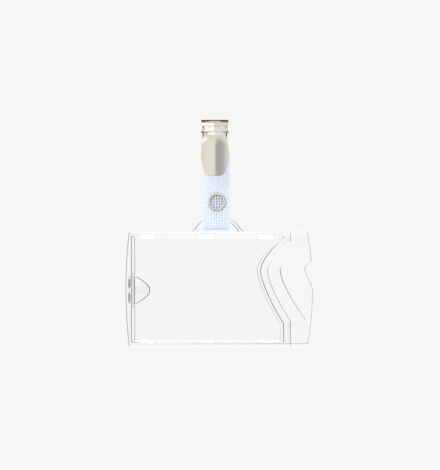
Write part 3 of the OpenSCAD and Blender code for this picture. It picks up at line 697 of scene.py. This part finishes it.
def scrim_strip(name, start, end, lift):
    """The scrim inside one vinyl strip: woven flat with its warp lifted, then laid along the strap."""
    weft_count = int((end - start - SELVEDGE) / THREAD_PITCH) + 1
    values = {
        weave_sizes["Warp Length"]: end - start - 2 * THREAD_RADIUS,
        weave_sizes["Weft Length"]: WEFT_LONG,
        weave_sizes["Pitch"]: THREAD_PITCH,
        weave_sizes["Thread Radius"]: THREAD_RADIUS,
        weave_sizes["Lift"]: lift,
        weave_sizes["Margin"]: (end - start - (weft_count - 1) * THREAD_PITCH) / 2 - THREAD_RADIUS,
        weave_counts["Warp Count"]: WARP_COUNT,
        weave_counts["Weft Count"]: weft_count,
    }
    piece = weave.evaluate(name, values)
    for point in piece.data.vertices:
        x, run, height = point.co
        point.co = (STRAP_X - WEFT_LONG / 2 + x, *along_strap(start + THREAD_RADIUS + run, height))
    return piece


# The two strips meet below the snap. A line is given across each: the upper over the gap in the part's
# strap, the lower where the flap leaves the loop, leaning so that the rear leaf stays clear of it.
ring_low, ring_high = (Vector(corner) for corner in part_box("snap_rear_ring"))
SPLIT_RUN = STRAP_TOP - ring_low[2] + 1.4 * MM
UPPER_RUN = (0.0, SPLIT_RUN)
LOWER_RUN = (SPLIT_RUN, STRAP_LONG)
LOWER_NODES = ["strap_rear", "strap_flap"]
BEND_LINE = Vector((STRAP_X, REAR_Y, (tab_low[2] + rear_high[2]) / 2))
BEND_SPREAD = Vector((0, 0, -3.0 * MM))
FLAP_LINE = Vector((STRAP_X, flap_low[1], flap_low[2] - 0.25 * MM))
FLAP_LEAN = math.radians(35)
FLAP_SPREAD = 0.75 * MM * Vector((0, -math.cos(FLAP_LEAN), math.sin(FLAP_LEAN)))

for strip, run, lift, bodies, line, spread, nodes in (
    ("upper", UPPER_RUN, -THREAD_LIFT, ("strap_top", "strap"), BEND_LINE, BEND_SPREAD, ["strap_tab"]),
    ("lower", LOWER_RUN, THREAD_LIFT, ("strap", "flap"), FLAP_LINE, FLAP_SPREAD, LOWER_NODES),
):
    skin = vinyl_strip("strap_vinyl_" + strip, *run)
    skin.data.materials.append(vinyl)
    scrim = scrim_strip("strap_scrim_" + strip, *run, lift)
    for piece in (skin, scrim):
        tuple(line - spread)
        tuple(line + spread)
        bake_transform(piece)
    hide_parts(*nodes)

# Ring snap
# Two rolled prong rings of nickel-plated brass grip the vinyl, one on the flap and one behind the
# rear leaf. The flap carries a drawn socket with a wire spring, the rear leaf the stud it shuts on.
SNAP_EDGE = 0.08 * MM
SNAP_NICKEL = rgba(230, 229, 225)
SNAP_SHADE = rgba(206, 205, 200)
SNAP_GLOSS = 0.10
SOCKET_NICKEL = rgba(174, 172, 175)
SOCKET_SHADE = rgba(140, 138, 142)
SOCKET_GLOSS = 0.25
RING_MIDDLE = 3.925 * MM
RING_RIM = 0.725 * MM
RING_SQUARE = 3.5
SEAT_SLACK = 0.02 * MM
SNAP_AT = (ring_low + ring_high) / 2
FRONT_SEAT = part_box("snap_front_ring")[0][1] + RING_RIM
REAR_SEAT = ring_high[1] - RING_RIM
snap_nickel = nickel_plate("snap_nickel", SNAP_NICKEL, SNAP_SHADE, SNAP_GLOSS)
socket_nickel = nickel_plate("dull_snap_nickel", SOCKET_NICKEL, SOCKET_SHADE, SOCKET_GLOSS)


def broad_ring(seat, side):
    """The press that squares a ring's half-round bead, so that its crown is broad."""

    def squared(point):
        height = (point.y - seat) * side
        across = abs(math.hypot(point.x - SNAP_AT[0], point.z - SNAP_AT[2]) - RING_MIDDLE) / RING_RIM
        if height < SEAT_SLACK:
            return 0.0
        crown = RING_RIM * max(0.0, 1 - across**RING_SQUARE) ** (1 / RING_SQUARE)
        return -side * (crown - height)

    return [], squared


for node, name, body, edge, metal, press in (
    ("snap_front_ring", "snap_ring_rolled_front", "flap", 0.0, snap_nickel, broad_ring(FRONT_SEAT, -1)),
    ("snap_rear_ring", "snap_ring_rolled_rear", "strap", 0.0, snap_nickel, broad_ring(REAR_SEAT, 1)),
    ("snap_socket", "snap_socket_drawn", "flap", SNAP_EDGE, socket_nickel, None),
    ("snap_stud", "snap_stud_drawn", "strap", SNAP_EDGE, socket_nickel, None),
):
    place_piece(worked_copy(node, name, edge, press), body, metal, "nickel", node)
coat(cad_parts["snap_spring"], spring_steel)

# Card holder shell
# The rear moulding of clear rigid plastic: floor, three walls and the D-loop that the strap holds.
# Every edge is rounded in the mould, and those edges are what draws the holder on a pale ground.
POCKET_LEFT = -41.6 * MM
CORNER_LEFT = -43.1 * MM
CORNER_RIGHT = 46.6 * MM
FAR_RIGHT = CORNER_RIGHT + 6 * MM
LEFT_BOW = 1.7 * MM
RIGHT_BOW = 2.6 * MM
HOLDER_CORNER = 1.6 * MM
CORNER_STEPS = 5
WALL = 1.9 * MM
CURVE_DROP = 19.8 * MM
CURVE_FALL = 25.1 * MM
SWEEP_STEPS = 28
BEND_UP = 1.65
BEND_DOWN = 1.4
DENT_UP = 1.3 * MM
DENT_SWEEP = 3.6 * MM
DENT_RISE = 3.4 * MM
DENT_FALL = 9.8 * MM
DENT_STEPS = 14
RECESS_X = 46.3 * MM
RECESS_SWEEP = 13.2 * MM
RECESS_RISE = 11.6 * MM
RECESS_DEEP = 0.2 * MM
RECESS_SLOPE = 0.45 * MM
FLOOR_THICK = 1.2 * MM
BACK_ROUND = 0.3 * MM
RIM_ROUND = 0.35 * MM
FINE_ROUND = 0.1 * MM
SUNK_ROUND = 0.02 * MM
ROUND_STEPS = 4
SIDE_ROWS = 60
MOULD_CREASE = 24
FLAT_CREASE = 13
LOOP_WELD = 1e-7
CUT_JOIN = 1e-6
LEAST_MITRE = 0.5

cover_low, cover_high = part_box("holder_front_cover")
HOLDER_TOP = cover_high[2]
HOLDER_BOTTOM = cover_low[2]
HOLDER_MID = (HOLDER_TOP + HOLDER_BOTTOM) / 2
HOLDER_HALF = (HOLDER_TOP - HOLDER_BOTTOM) / 2
HOLDER_FRONT = cover_low[1]
COVER_BACK = cover_high[1]
WALL_FRONT = COVER_BACK + 0.05 * MM
HOLDER_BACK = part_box("holder_back_shell")[1][1]
FLOOR_FRONT = HOLDER_BACK - FLOOR_THICK
POCKET_TOP = HOLDER_TOP - WALL
POCKET_BOTTOM = HOLDER_BOTTOM + WALL
APEX = HOLDER_TOP - CURVE_DROP


def dip(z, apex, rise, fall):
    """How far in a swept edge is at height z: 1 at its apex, 0 past its rise and its fall."""
    if z > apex:
        return 1 - min((z - apex) / rise, 1) ** BEND_UP
    return 1 - min((apex - z) / fall, 1) ** BEND_DOWN


def swept_edge(x, sweep, rise, fall):
    """Points of a swept edge, from the foot of its fall up to the top of its rise."""
    points = []
    for i in range(-SWEEP_STEPS, SWEEP_STEPS + 1):
        z = APEX + (fall if i < 0 else rise) * i / SWEEP_STEPS
        points.append((x - sweep * dip(z, APEX, rise, fall), z))
    return points


def drawn_in(z):
    """How far the holder's rounded corners draw its sides in at height z."""
    near = min(z - HOLDER_BOTTOM, HOLDER_TOP - z)
    if near >= HOLDER_CORNER:
        return 0.0
    return HOLDER_CORNER - math.sqrt(max(0.0, HOLDER_CORNER**2 - (HOLDER_CORNER - near) ** 2))


def bowed(z, bow):
    return bow * (1 - ((z - HOLDER_MID) / HOLDER_HALF) ** 2)


def left_side(z):
    return CORNER_LEFT - bowed(z, LEFT_BOW) + drawn_in(z)


def right_side(z):
    dent = DENT_SWEEP * dip(z, APEX + DENT_UP, DENT_RISE, DENT_FALL)
    return CORNER_RIGHT + bowed(z, RIGHT_BOW) - dent - drawn_in(z)


CORNER_TURNS = [math.pi / 2 * i / CORNER_STEPS for i in range(CORNER_STEPS + 1)]
CORNER_ROWS = [HOLDER_CORNER * (1 - math.cos(angle)) for angle in CORNER_TURNS]
DENT_ROWS = [
    APEX + DENT_UP + (DENT_FALL if i < 0 else DENT_RISE) * i / DENT_STEPS
    for i in range(-DENT_STEPS, DENT_STEPS + 1)
]
PLAIN_ROWS = [HOLDER_BOTTOM + 2 * HOLDER_HALF * i / SIDE_ROWS for i in range(SIDE_ROWS + 1)]


def side_rows(low, high, dented):
    """Heights up one side of the holder between low and high, closer together in corners and dent."""
    rows = {low, high}
    rows.update(HOLDER_BOTTOM + d for d in CORNER_ROWS)
    rows.update(HOLDER_TOP - d for d in CORNER_ROWS)
    rows.update(
        z
        for z in PLAIN_ROWS
        if HOLDER_CORNER < z - HOLDER_BOTTOM < 2 * HOLDER_HALF - HOLDER_CORNER
        and not (dented and DENT_ROWS[0] <= z <= DENT_ROWS[-1])
    )
    if dented:
        rows.update(DENT_ROWS)
    return sorted(z for z in rows if low <= z <= high)


def inset(loop, amount):
    """A closed anticlockwise loop of X, Z points with every edge moved inwards by amount."""
    moved = []
    count = len(loop)
    for i, here in enumerate(loop):
        before, after = loop[i - 1], loop[(i + 1) % count]
        first = Vector((before[1] - here[1], here[0] - before[0])).normalized()
        second = Vector((here[1] - after[1], after[0] - here[0])).normalized()
        mitre = (first + second) / max(LEAST_MITRE, 1 + first.dot(second))
        moved.append((here[0] + mitre[0] * amount, here[1] + mitre[1] * amount))
    return moved


def rounded_levels(front, back, front_round, back_round):
    """Pairs of inset and depth that run from a front face round its rims to the back face."""
    turns = [math.pi / 2 * i / ROUND_STEPS for i in range(ROUND_STEPS + 1)]
    levels = [(front_round * (1 - math.sin(a)), front + front_round * (1 - math.cos(a))) for a in turns]
    levels += [(back_round * (1 - math.cos(a)), back - back_round * (1 - math.sin(a))) for a in turns]
    return levels


def moulding(name, loops, levels):
    """Closed solids whose outlines are the loops, each inset and set back by every level in turn."""
    form = bmesh.new()
    for loop in loops:
        rings = [[form.verts.new((x, depth, z)) for x, z in inset(loop, inward)] for inward, depth in levels]
        for near, far in zip(rings, rings[1:]):
            for i in range(len(loop)):
                after = (i + 1) % len(loop)
                form.faces.new((near[i], far[i], far[after], near[after]))
        for ring in (rings[0], rings[-1]):
            for corners in tessellate_polygon([[point.co for point in ring]]):
                form.faces.new([ring[corner] for corner in corners])
    bmesh.ops.remove_doubles(form, verts=form.verts, dist=LOOP_WELD)
    bmesh.ops.recalc_face_normals(form, faces=form.faces)
    mesh = bpy.data.meshes.new(name)
    form.to_mesh(mesh)
    form.free()
    return placed(name, mesh)


def worked(base, steps, name):
    """A finished piece: solids added to or cut from a base in turn, then shaded smooth along its rounds."""
    for operation, tool in steps:
        modifier = base.modifiers.new(operation.lower(), "BOOLEAN")
        modifier.operation = operation
        modifier.solver = "EXACT"
        modifier.object = tool
    graph = bpy.context.evaluated_depsgraph_get()
    mesh = bpy.data.meshes.new_from_object(base.evaluated_get(graph))
    for solid in [base] + [tool for _, tool in steps]:
        bpy.data.objects.remove(solid)
    form = bmesh.new()
    form.from_mesh(mesh)
    bpy.data.meshes.remove(mesh)
    bmesh.ops.remove_doubles(form, verts=form.verts, dist=CUT_JOIN)
    form.normal_update()
    return piece_from(form, name, MOULD_CREASE, FLAT_CREASE)


left_outline = [(left_side(z), z) for z in reversed(side_rows(HOLDER_BOTTOM, HOLDER_TOP, False))]
outline = [(right_side(z), z) for z in side_rows(HOLDER_BOTTOM, HOLDER_TOP, True)] + left_outline
floor_plate = moulding(
    "floor_plate", [outline], rounded_levels(FLOOR_FRONT, HOLDER_BACK, FINE_ROUND, BACK_ROUND)
)

# The walls run round three sides of the pocket in one strip, open at the right
wall_strip = [(right_side(z), z) for z in side_rows(POCKET_TOP, HOLDER_TOP, True)] + left_outline
wall_strip += [(right_side(z), z) for z in side_rows(HOLDER_BOTTOM, POCKET_BOTTOM, True)]
wall_strip += [(POCKET_LEFT, POCKET_BOTTOM), (POCKET_LEFT, POCKET_TOP)]
walls = moulding(
    "walls", [wall_strip], rounded_levels(WALL_FRONT, HOLDER_BACK - BACK_ROUND, RIM_ROUND, SUNK_ROUND)
)

recess_loop = [(FAR_RIGHT, APEX - CURVE_FALL), (FAR_RIGHT, APEX + RECESS_RISE)]
recess_loop += reversed(swept_edge(RECESS_X, RECESS_SWEEP, RECESS_RISE, CURVE_FALL))
recess = moulding(
    "recess",
    [recess_loop],
    [(-2 * RECESS_SLOPE, FLOOR_FRONT - RECESS_DEEP), (0.0, FLOOR_FRONT + RECESS_DEEP)],
)

# The D-loop stands on the top wall, with a small fillet at each foot
LOOP_X = 1.5 * MM
LOOP_Y = BIGHT_Y
LOOP_RADIUS = 13.5 * MM
LOOP_WIDE = 2.0 * MM
LOOP_THICK = 2.2 * MM
LOOP_ROUND = 0.7 * MM
LOOP_SINK = 5.4 * MM
LOOP_Z = HOLDER_TOP - LOOP_SINK
FOOT_SINK = 1.5 * MM
FOOT_HIGH = 1.8 * MM
FOOT_FLARE = 1.7 * MM
FOOT_STEPS = 6
ARC_STEPS = 24

arch = [None]
for step in range(FOOT_STEPS + 1):
    z = HOLDER_TOP + FOOT_HIGH * step / FOOT_STEPS
    half = math.sqrt(max(0.0, LOOP_RADIUS**2 - (z - LOOP_Z) ** 2))
    arch.append((half + FOOT_FLARE * (1 - step / FOOT_STEPS) ** 2, z))
arch[0] = (arch[1][0], HOLDER_TOP - FOOT_SINK)
lean = math.asin((arch[-1][1] - LOOP_Z) / LOOP_RADIUS)
for step in range(1, ARC_STEPS):
    angle = lean + (math.pi / 2 - lean) * step / ARC_STEPS
    arch.append((LOOP_RADIUS * math.cos(angle), LOOP_Z + LOOP_RADIUS * math.sin(angle)))
inner = LOOP_RADIUS - LOOP_WIDE
sill = math.asin((LOOP_SINK - FOOT_SINK) / inner)
bow_inner = [sill + (math.pi / 2 - sill) * step / ARC_STEPS for step in range(ARC_STEPS + 1)]
arch_loop = [(LOOP_X + x, z) for x, z in arch] + [(LOOP_X, LOOP_Z + LOOP_RADIUS)]
arch_loop += [(LOOP_X - x, z) for x, z in reversed(arch)]
arch_loop += [(LOOP_X - inner * math.cos(a), LOOP_Z + inner * math.sin(a)) for a in bow_inner]
arch_loop += [(LOOP_X + inner * math.cos(a), LOOP_Z + inner * math.sin(a)) for a in reversed(bow_inner[:-1])]
d_loop = moulding(
    "d_loop",
    [arch_loop],
    rounded_levels(LOOP_Y - LOOP_THICK / 2, LOOP_Y + LOOP_THICK / 2, LOOP_ROUND, LOOP_ROUND),
)

# Six feet in the top and bottom walls carry the lugs that reach into the cover's slots
SLOT_LONG = 8.2 * MM
SLOT_HIGH = 1.8 * MM
LUGS_IN_ROW = 3
LUG_START = 7.9 * MM
LUG_PITCH = 29.8 * MM
LUG_FIT = 0.1 * MM
LUG_FOOT_BACK = FLOOR_FRONT - 1.1 * MM
LUG_FOOT_LONG = SLOT_LONG - 1.2 * SLOT_HIGH
LUG_FOOT_ROUND = 0.05 * MM
LUG_DROP = SLOT_HIGH / 2 + LUG_FIT
LUG_PLACES = [
    (POCKET_LEFT + LUG_START + LUG_PITCH * i, z, side)
    for i in range(LUGS_IN_ROW)
    for z, side in ((POCKET_TOP - LUG_DROP, 1), (POCKET_BOTTOM + LUG_DROP, -1))
]
FOOT_CORNERS = ((1, -1), (1, 1), (-1, 1), (-1, -1))

feet = moulding(
    "lug_feet",
    [
        [
            (x + LUG_FOOT_LONG / 2 * i, z + side * WALL / 2 + SLOT_HIGH / 2 * j)
            for i, j in FOOT_CORNERS
        ]
        for x, z, side in LUG_PLACES
    ],
    rounded_levels(WALL_FRONT + RIM_ROUND, LUG_FOOT_BACK, LUG_FOOT_ROUND, LUG_FOOT_ROUND),
)
shell = worked(
    floor_plate,
    [("UNION", walls), ("DIFFERENCE", recess), ("UNION", d_loop), ("UNION", feet)],
    "holder_shell_moulding",
)

CLEAR_TINT = rgba(254, 254, 254)
CLEAR_IOR = 1.45
CLEAR_DULL = 0.01
RIPPLE_SCALE = 55.0
RIPPLE_BUMP = 0.04
RIPPLE_DEEP = 0.2 * MM
RUB_SCALE = (90.0, 900.0, 1400.0)
RUB_DULL = 0.02


def clear_moulding(name, tint):
    """Clear rigid plastic: polished faces with a slow ripple and faint rubbing from cards."""
    material, clear = new_finish(name)
    place = clear.add("ShaderNodeTexCoord", out="Object")
    ripple = clear.noise(place, RIPPLE_SCALE, 1.0)
    across = clear.add("ShaderNodeMapping", {}, {"Vector": place, "Scale": RUB_SCALE})
    rubs = clear.noise(across, 1.0, 4.0)
    clear.principled(
        {
            "Base Color": tint,
            "Roughness": CLEAR_DULL + rubs * RUB_DULL,
            "IOR": CLEAR_IOR,
            "Transmission Weight": 1.0,
            "Normal": clear.bump(ripple, RIPPLE_BUMP, RIPPLE_DEEP),
        }
    )
    return material


clear_plastic = clear_moulding("clear_rigid_plastic", CLEAR_TINT)
place_piece(shell, "holder", clear_plastic, "clear_plastic", "holder_back_shell")

# Front cover
# The front moulding: a flat sheet with a stepped window and a swept edge that leaves the card's end
# bare. Six slots take the shell's lugs, and a notch opens over the spring finger.
EDGE_X = 38.2 * MM
EDGE_SWEEP = 11.6 * MM
EDGE_RISE = 14.6 * MM
COVER_ROUND = 0.45 * MM
CUT_OVER = 0.2 * MM

cover_loop = [(EDGE_X, HOLDER_BOTTOM)] + swept_edge(EDGE_X, EDGE_SWEEP, EDGE_RISE, CURVE_FALL)
cover_loop += [(EDGE_X, HOLDER_TOP)] + left_outline
cover_plate = moulding(
    "cover_plate", [cover_loop], rounded_levels(HOLDER_FRONT, COVER_BACK, COVER_ROUND, FINE_ROUND)
)

WINDOW_IN = 3.9 * MM
WINDOW_STEP = 1.65 * MM
WINDOW_TOP_STEP = 0.35 * MM
WINDOW_BOTTOM_STEP = 0.5 * MM
WINDOW_DEEP = (0.0, 0.29 * MM, 0.46 * MM)
WINDOW_SLOPE = 0.36 * MM
WINDOW_FRAME = 2.6 * MM
WINDOW_RISE = EDGE_RISE + 2.2 * MM
WINDOW_FALL = CURVE_FALL + 1.3 * MM
WINDOW_TIP = 0.1 * MM


def window_cut(step):
    """One terrace of the window, its side sloping in towards the card."""
    right = EDGE_X - WINDOW_IN - WINDOW_STEP * (step - 1)
    left = POCKET_LEFT + WINDOW_STEP * (step - 1)
    top = HOLDER_TOP - WINDOW_FRAME - WINDOW_TOP_STEP * (step - 1)
    bottom = HOLDER_BOTTOM + WINDOW_FRAME + WINDOW_BOTTOM_STEP * (step - 1)
    sweep = swept_edge(right, EDGE_SWEEP, WINDOW_RISE, WINDOW_FALL)
    curve = [(x, z) for x, z in sweep if z < top - WINDOW_TIP]
    loop = [(right, bottom)] + curve + [(curve[-1][0] + WINDOW_TIP, top), (left, top), (left, bottom)]
    bed = HOLDER_FRONT + WINDOW_DEEP[step]
    depth = WINDOW_DEEP[step] - WINDOW_DEEP[step - 1]
    start = HOLDER_FRONT - CUT_OVER
    return moulding("window", [loop], [(-WINDOW_SLOPE * (bed - start) / depth, start), (0.0, bed)])


# The notch is open at the window's left side, and its front rim is flared
FINGER_Z = HOLDER_TOP - 29.3 * MM
NOTCH_HIGH = 13.6 * MM
NOTCH_REACH = 8.8 * MM
NOTCH_FLARE = 0.85 * MM
NOTCH_FLARE_DEEP = 0.9 * MM
NOTCH_STEPS = 16
NOTCH_LEFT = POCKET_LEFT + WINDOW_STEP
notch_loop = [(NOTCH_LEFT - LUG_FIT, FINGER_Z + side * NOTCH_HIGH / 2) for side in (1, -1)]
for step in range(-NOTCH_STEPS, NOTCH_STEPS + 1):
    z = NOTCH_HIGH / 2 * step / NOTCH_STEPS
    sweep_in = (NOTCH_REACH - WINDOW_STEP) * math.cos(math.pi * z / NOTCH_HIGH)
    notch_loop.append((NOTCH_LEFT + sweep_in, FINGER_Z + z))
notch = moulding(
    "notch",
    [notch_loop],
    [(-NOTCH_FLARE, HOLDER_FRONT), (0.0, HOLDER_FRONT + NOTCH_FLARE_DEEP), (0.0, COVER_BACK + MM)],
)

# The slots' front rims are flared too
SLOT_FLARE = 0.3 * MM
SLOT_STEPS = 8


def stadium(x, z, long, high):
    """A slot's outline: two half rounds joined by straight sides."""
    radius = high / 2
    reach = long / 2 - radius
    points = []
    for side, start in ((1, -math.pi / 2), (-1, math.pi / 2)):
        for i in range(SLOT_STEPS + 1):
            angle = start + math.pi * i / SLOT_STEPS
            points.append((x + side * reach + radius * math.cos(angle), z + radius * math.sin(angle)))
    return points


slots = moulding(
    "slots",
    [stadium(x, z, SLOT_LONG, SLOT_HIGH) for x, z, _ in LUG_PLACES],
    [
        (-2 * SLOT_FLARE, HOLDER_FRONT - SLOT_FLARE),
        (0.0, HOLDER_FRONT + SLOT_FLARE),
        (0.0, COVER_BACK + MM),
    ],
)

# Two lens-shaped slits beside the spring finger's bar, drawn as grooves that narrow into the cover
BAR_LONG = 17.5 * MM
SLIT_WIDE = 1.2 * MM
SLIT_LONG = BAR_LONG * 2 / 5
SLIT_X = POCKET_LEFT - SLIT_WIDE
SLIT_CLOSE = 0.55 * MM
SLIT_DEEP = 0.6 * MM
SLIT_STEPS = 12


def slit_outline(middle):
    """A lens standing on end, from two shallow arcs."""
    rows = [SLIT_LONG / 2 * i / SLIT_STEPS for i in range(-SLIT_STEPS, SLIT_STEPS + 1)]
    arc = [(SLIT_WIDE / 2 * (1 - (2 * z / SLIT_LONG) ** 2), middle + z) for z in rows]
    return [(SLIT_X + x, z) for x, z in arc] + [(SLIT_X - x, z) for x, z in reversed(arc[1:-1])]


slits = moulding(
    "cover_slits",
    [slit_outline(FINGER_Z + side * (SLIT_LONG / 2 + LUG_FIT)) for side in (-1, 1)],
    [(0.0, HOLDER_FRONT - MM), (0.0, HOLDER_FRONT), (SLIT_CLOSE, HOLDER_FRONT + SLIT_DEEP)],
)
cover = worked(
    cover_plate,
    [("DIFFERENCE", cut) for cut in (window_cut(1), window_cut(2), slots, notch, slits)],
    "holder_cover_moulding",
)
place_piece(cover, "holder", clear_plastic, "clear_plastic", "holder_front_cover")

# Lugs
# Six round-ended lugs on the shell's feet fill the cover's slots and hold it on. Welding left their
# tips frosted, and a painted glow brightens them, so they show white.
LUG_WHITE = rgba(255, 255, 255)
LUG_SHADE = rgba(249, 250, 252)
LUG_PAINTED_GLOW = 0.12
LUG_BACK = LUG_FOOT_BACK - 0.15 * MM
LUG_ROUND_SHARE = 0.499
LUG_ROUND_STEPS = 6
LUG_DULL = 0.4
FROST_SCALE = 2400.0
FROST_DULL = 0.2
FROST_BUMP = 0.2
FROST_DEEP = 0.05 * MM


def frosted_tip():
    """Clear plastic that welding has frosted white, with a fine grain and a painted glow that brightens it.
    """
    material, frost = new_finish("frosted_lug")
    grain = frost.noise(frost.add("ShaderNodeTexCoord", out="Object"), FROST_SCALE, 3.0)
    frost.principled(
        {
            "Base Color": frost.blend(grain, LUG_SHADE, LUG_WHITE),
            "Roughness": LUG_DULL + grain * FROST_DULL,
            # The emission is painted light: a glow that makes the frosted tips show brighter than the lamps
            # light them.
            "Emission Color": LUG_WHITE,
            "Emission Strength": LUG_PAINTED_GLOW,
            "Normal": frost.bump(grain, FROST_BUMP, FROST_DEEP),
        }
    )
    return material


frosted = frosted_tip()
lug_tree = Weave("lug_row")
lug_inputs = {name: lug_tree.size(name) for name in ("Length", "Height", "Depth", "Pitch", "Row Gap")}
given = lug_tree.add("NodeGroupInput")
plan = lug_tree.add(
    "GeometryNodeCurvePrimitiveQuadrilateral", {}, {"Width": given["Length"], "Height": given["Height"]}
)
lug_round = lug_tree.times(given["Height"], LUG_ROUND_SHARE)
rounded = lug_tree.add(
    "GeometryNodeFilletCurve",
    {"mode": "POLY"},
    {"Curve": plan["Curve"], "Radius": lug_round, "Count": LUG_ROUND_STEPS},
)
face = lug_tree.add("GeometryNodeFillCurve", {"mode": "NGONS"}, {"Curve": rounded["Curve"]})
raised = lug_tree.add("GeometryNodeExtrudeMesh", {}, {"Mesh": face["Mesh"], "Offset Scale": given["Depth"]})
base = lug_tree.add("GeometryNodeFlipFaces", {}, {"Mesh": face["Mesh"]})
closed = lug_tree.add("GeometryNodeJoinGeometry", {}, {"Geometry": [raised["Mesh"], base["Mesh"]]})
welded = lug_tree.add(
    "GeometryNodeMergeByDistance", {}, {"Geometry": closed["Geometry"], "Distance": CUT_JOIN}
)
row_long = lug_tree.times(given["Pitch"], LUGS_IN_ROW - 1.0)
places = lug_tree.add(
    "GeometryNodeMeshGrid",
    {},
    {"Size X": row_long, "Size Y": given["Row Gap"], "Vertices X": LUGS_IN_ROW, "Vertices Y": 2},
)
laid = lug_tree.add(
    "GeometryNodeInstanceOnPoints", {}, {"Points": places["Mesh"], "Instance": welded["Geometry"]}
)
real = lug_tree.add("GeometryNodeRealizeInstances", {}, {"Geometry": laid["Instances"]})
painted = lug_tree.add("GeometryNodeSetMaterial", {}, {"Geometry": real["Geometry"], "Material": frosted})
lug_tree.add("NodeGroupOutput", {}, {"Geometry": painted["Geometry"]})

lug_tips = lug_tree.evaluate(
    "holder_lugs",
    {
        lug_inputs["Length"]: SLOT_LONG - 2 * LUG_FIT,
        lug_inputs["Height"]: SLOT_HIGH - 2 * LUG_FIT,
        lug_inputs["Depth"]: LUG_BACK - HOLDER_FRONT - LUG_FIT,
        lug_inputs["Pitch"]: LUG_PITCH,
        lug_inputs["Row Gap"]: LUG_PLACES[0][1] - LUG_PLACES[1][1],
    },
)
for point in lug_tips.data.vertices:
    x, row, depth = point.co
    point.co = (POCKET_LEFT + LUG_START + LUG_PITCH + x, LUG_BACK - depth, HOLDER_MID + row)
place_piece(lug_tips, "holder", frosted, "clear_plastic")

# Spring finger
# A small ramped tongue on a round bar at the card's closed end, of the same clear plastic. It bears
# on the card and flexes when one goes in.
FINGER_EDGE = 0.12 * MM
FINGER_TINT = rgba(176, 182, 200)
FINGER_DULL = 0.05
FINGER_SOLID = 0.10
FINGER_RUBS = 900.0
FINGER_RUB_DULL = 0.08
RIM_BLEND = 0.35
RIM_SOLID = 0.85


def thin_clear():
    """A thin clear moulding that lets light straight through and shows mostly at its edges."""
    material, clear = new_finish("thin_clear_plastic")
    rubs = clear.noise(clear.add("ShaderNodeTexCoord", out="Object"), FINGER_RUBS, 3.0)
    turned = clear.add("ShaderNodeLayerWeight", {}, {"Blend": RIM_BLEND}, out="Facing")
    clear.principled(
        {
            "Base Color": clear.blend(rubs, FINGER_TINT, CLEAR_TINT),
            "Roughness": FINGER_DULL + rubs * FINGER_RUB_DULL,
            "Alpha": FINGER_SOLID + turned * RIM_SOLID,
        }
    )
    return material


finger = worked_copy("card_finger", "card_finger_moulding", FINGER_EDGE)
place_piece(finger, "finger", thin_clear(), "clear_plastic", "card_finger")
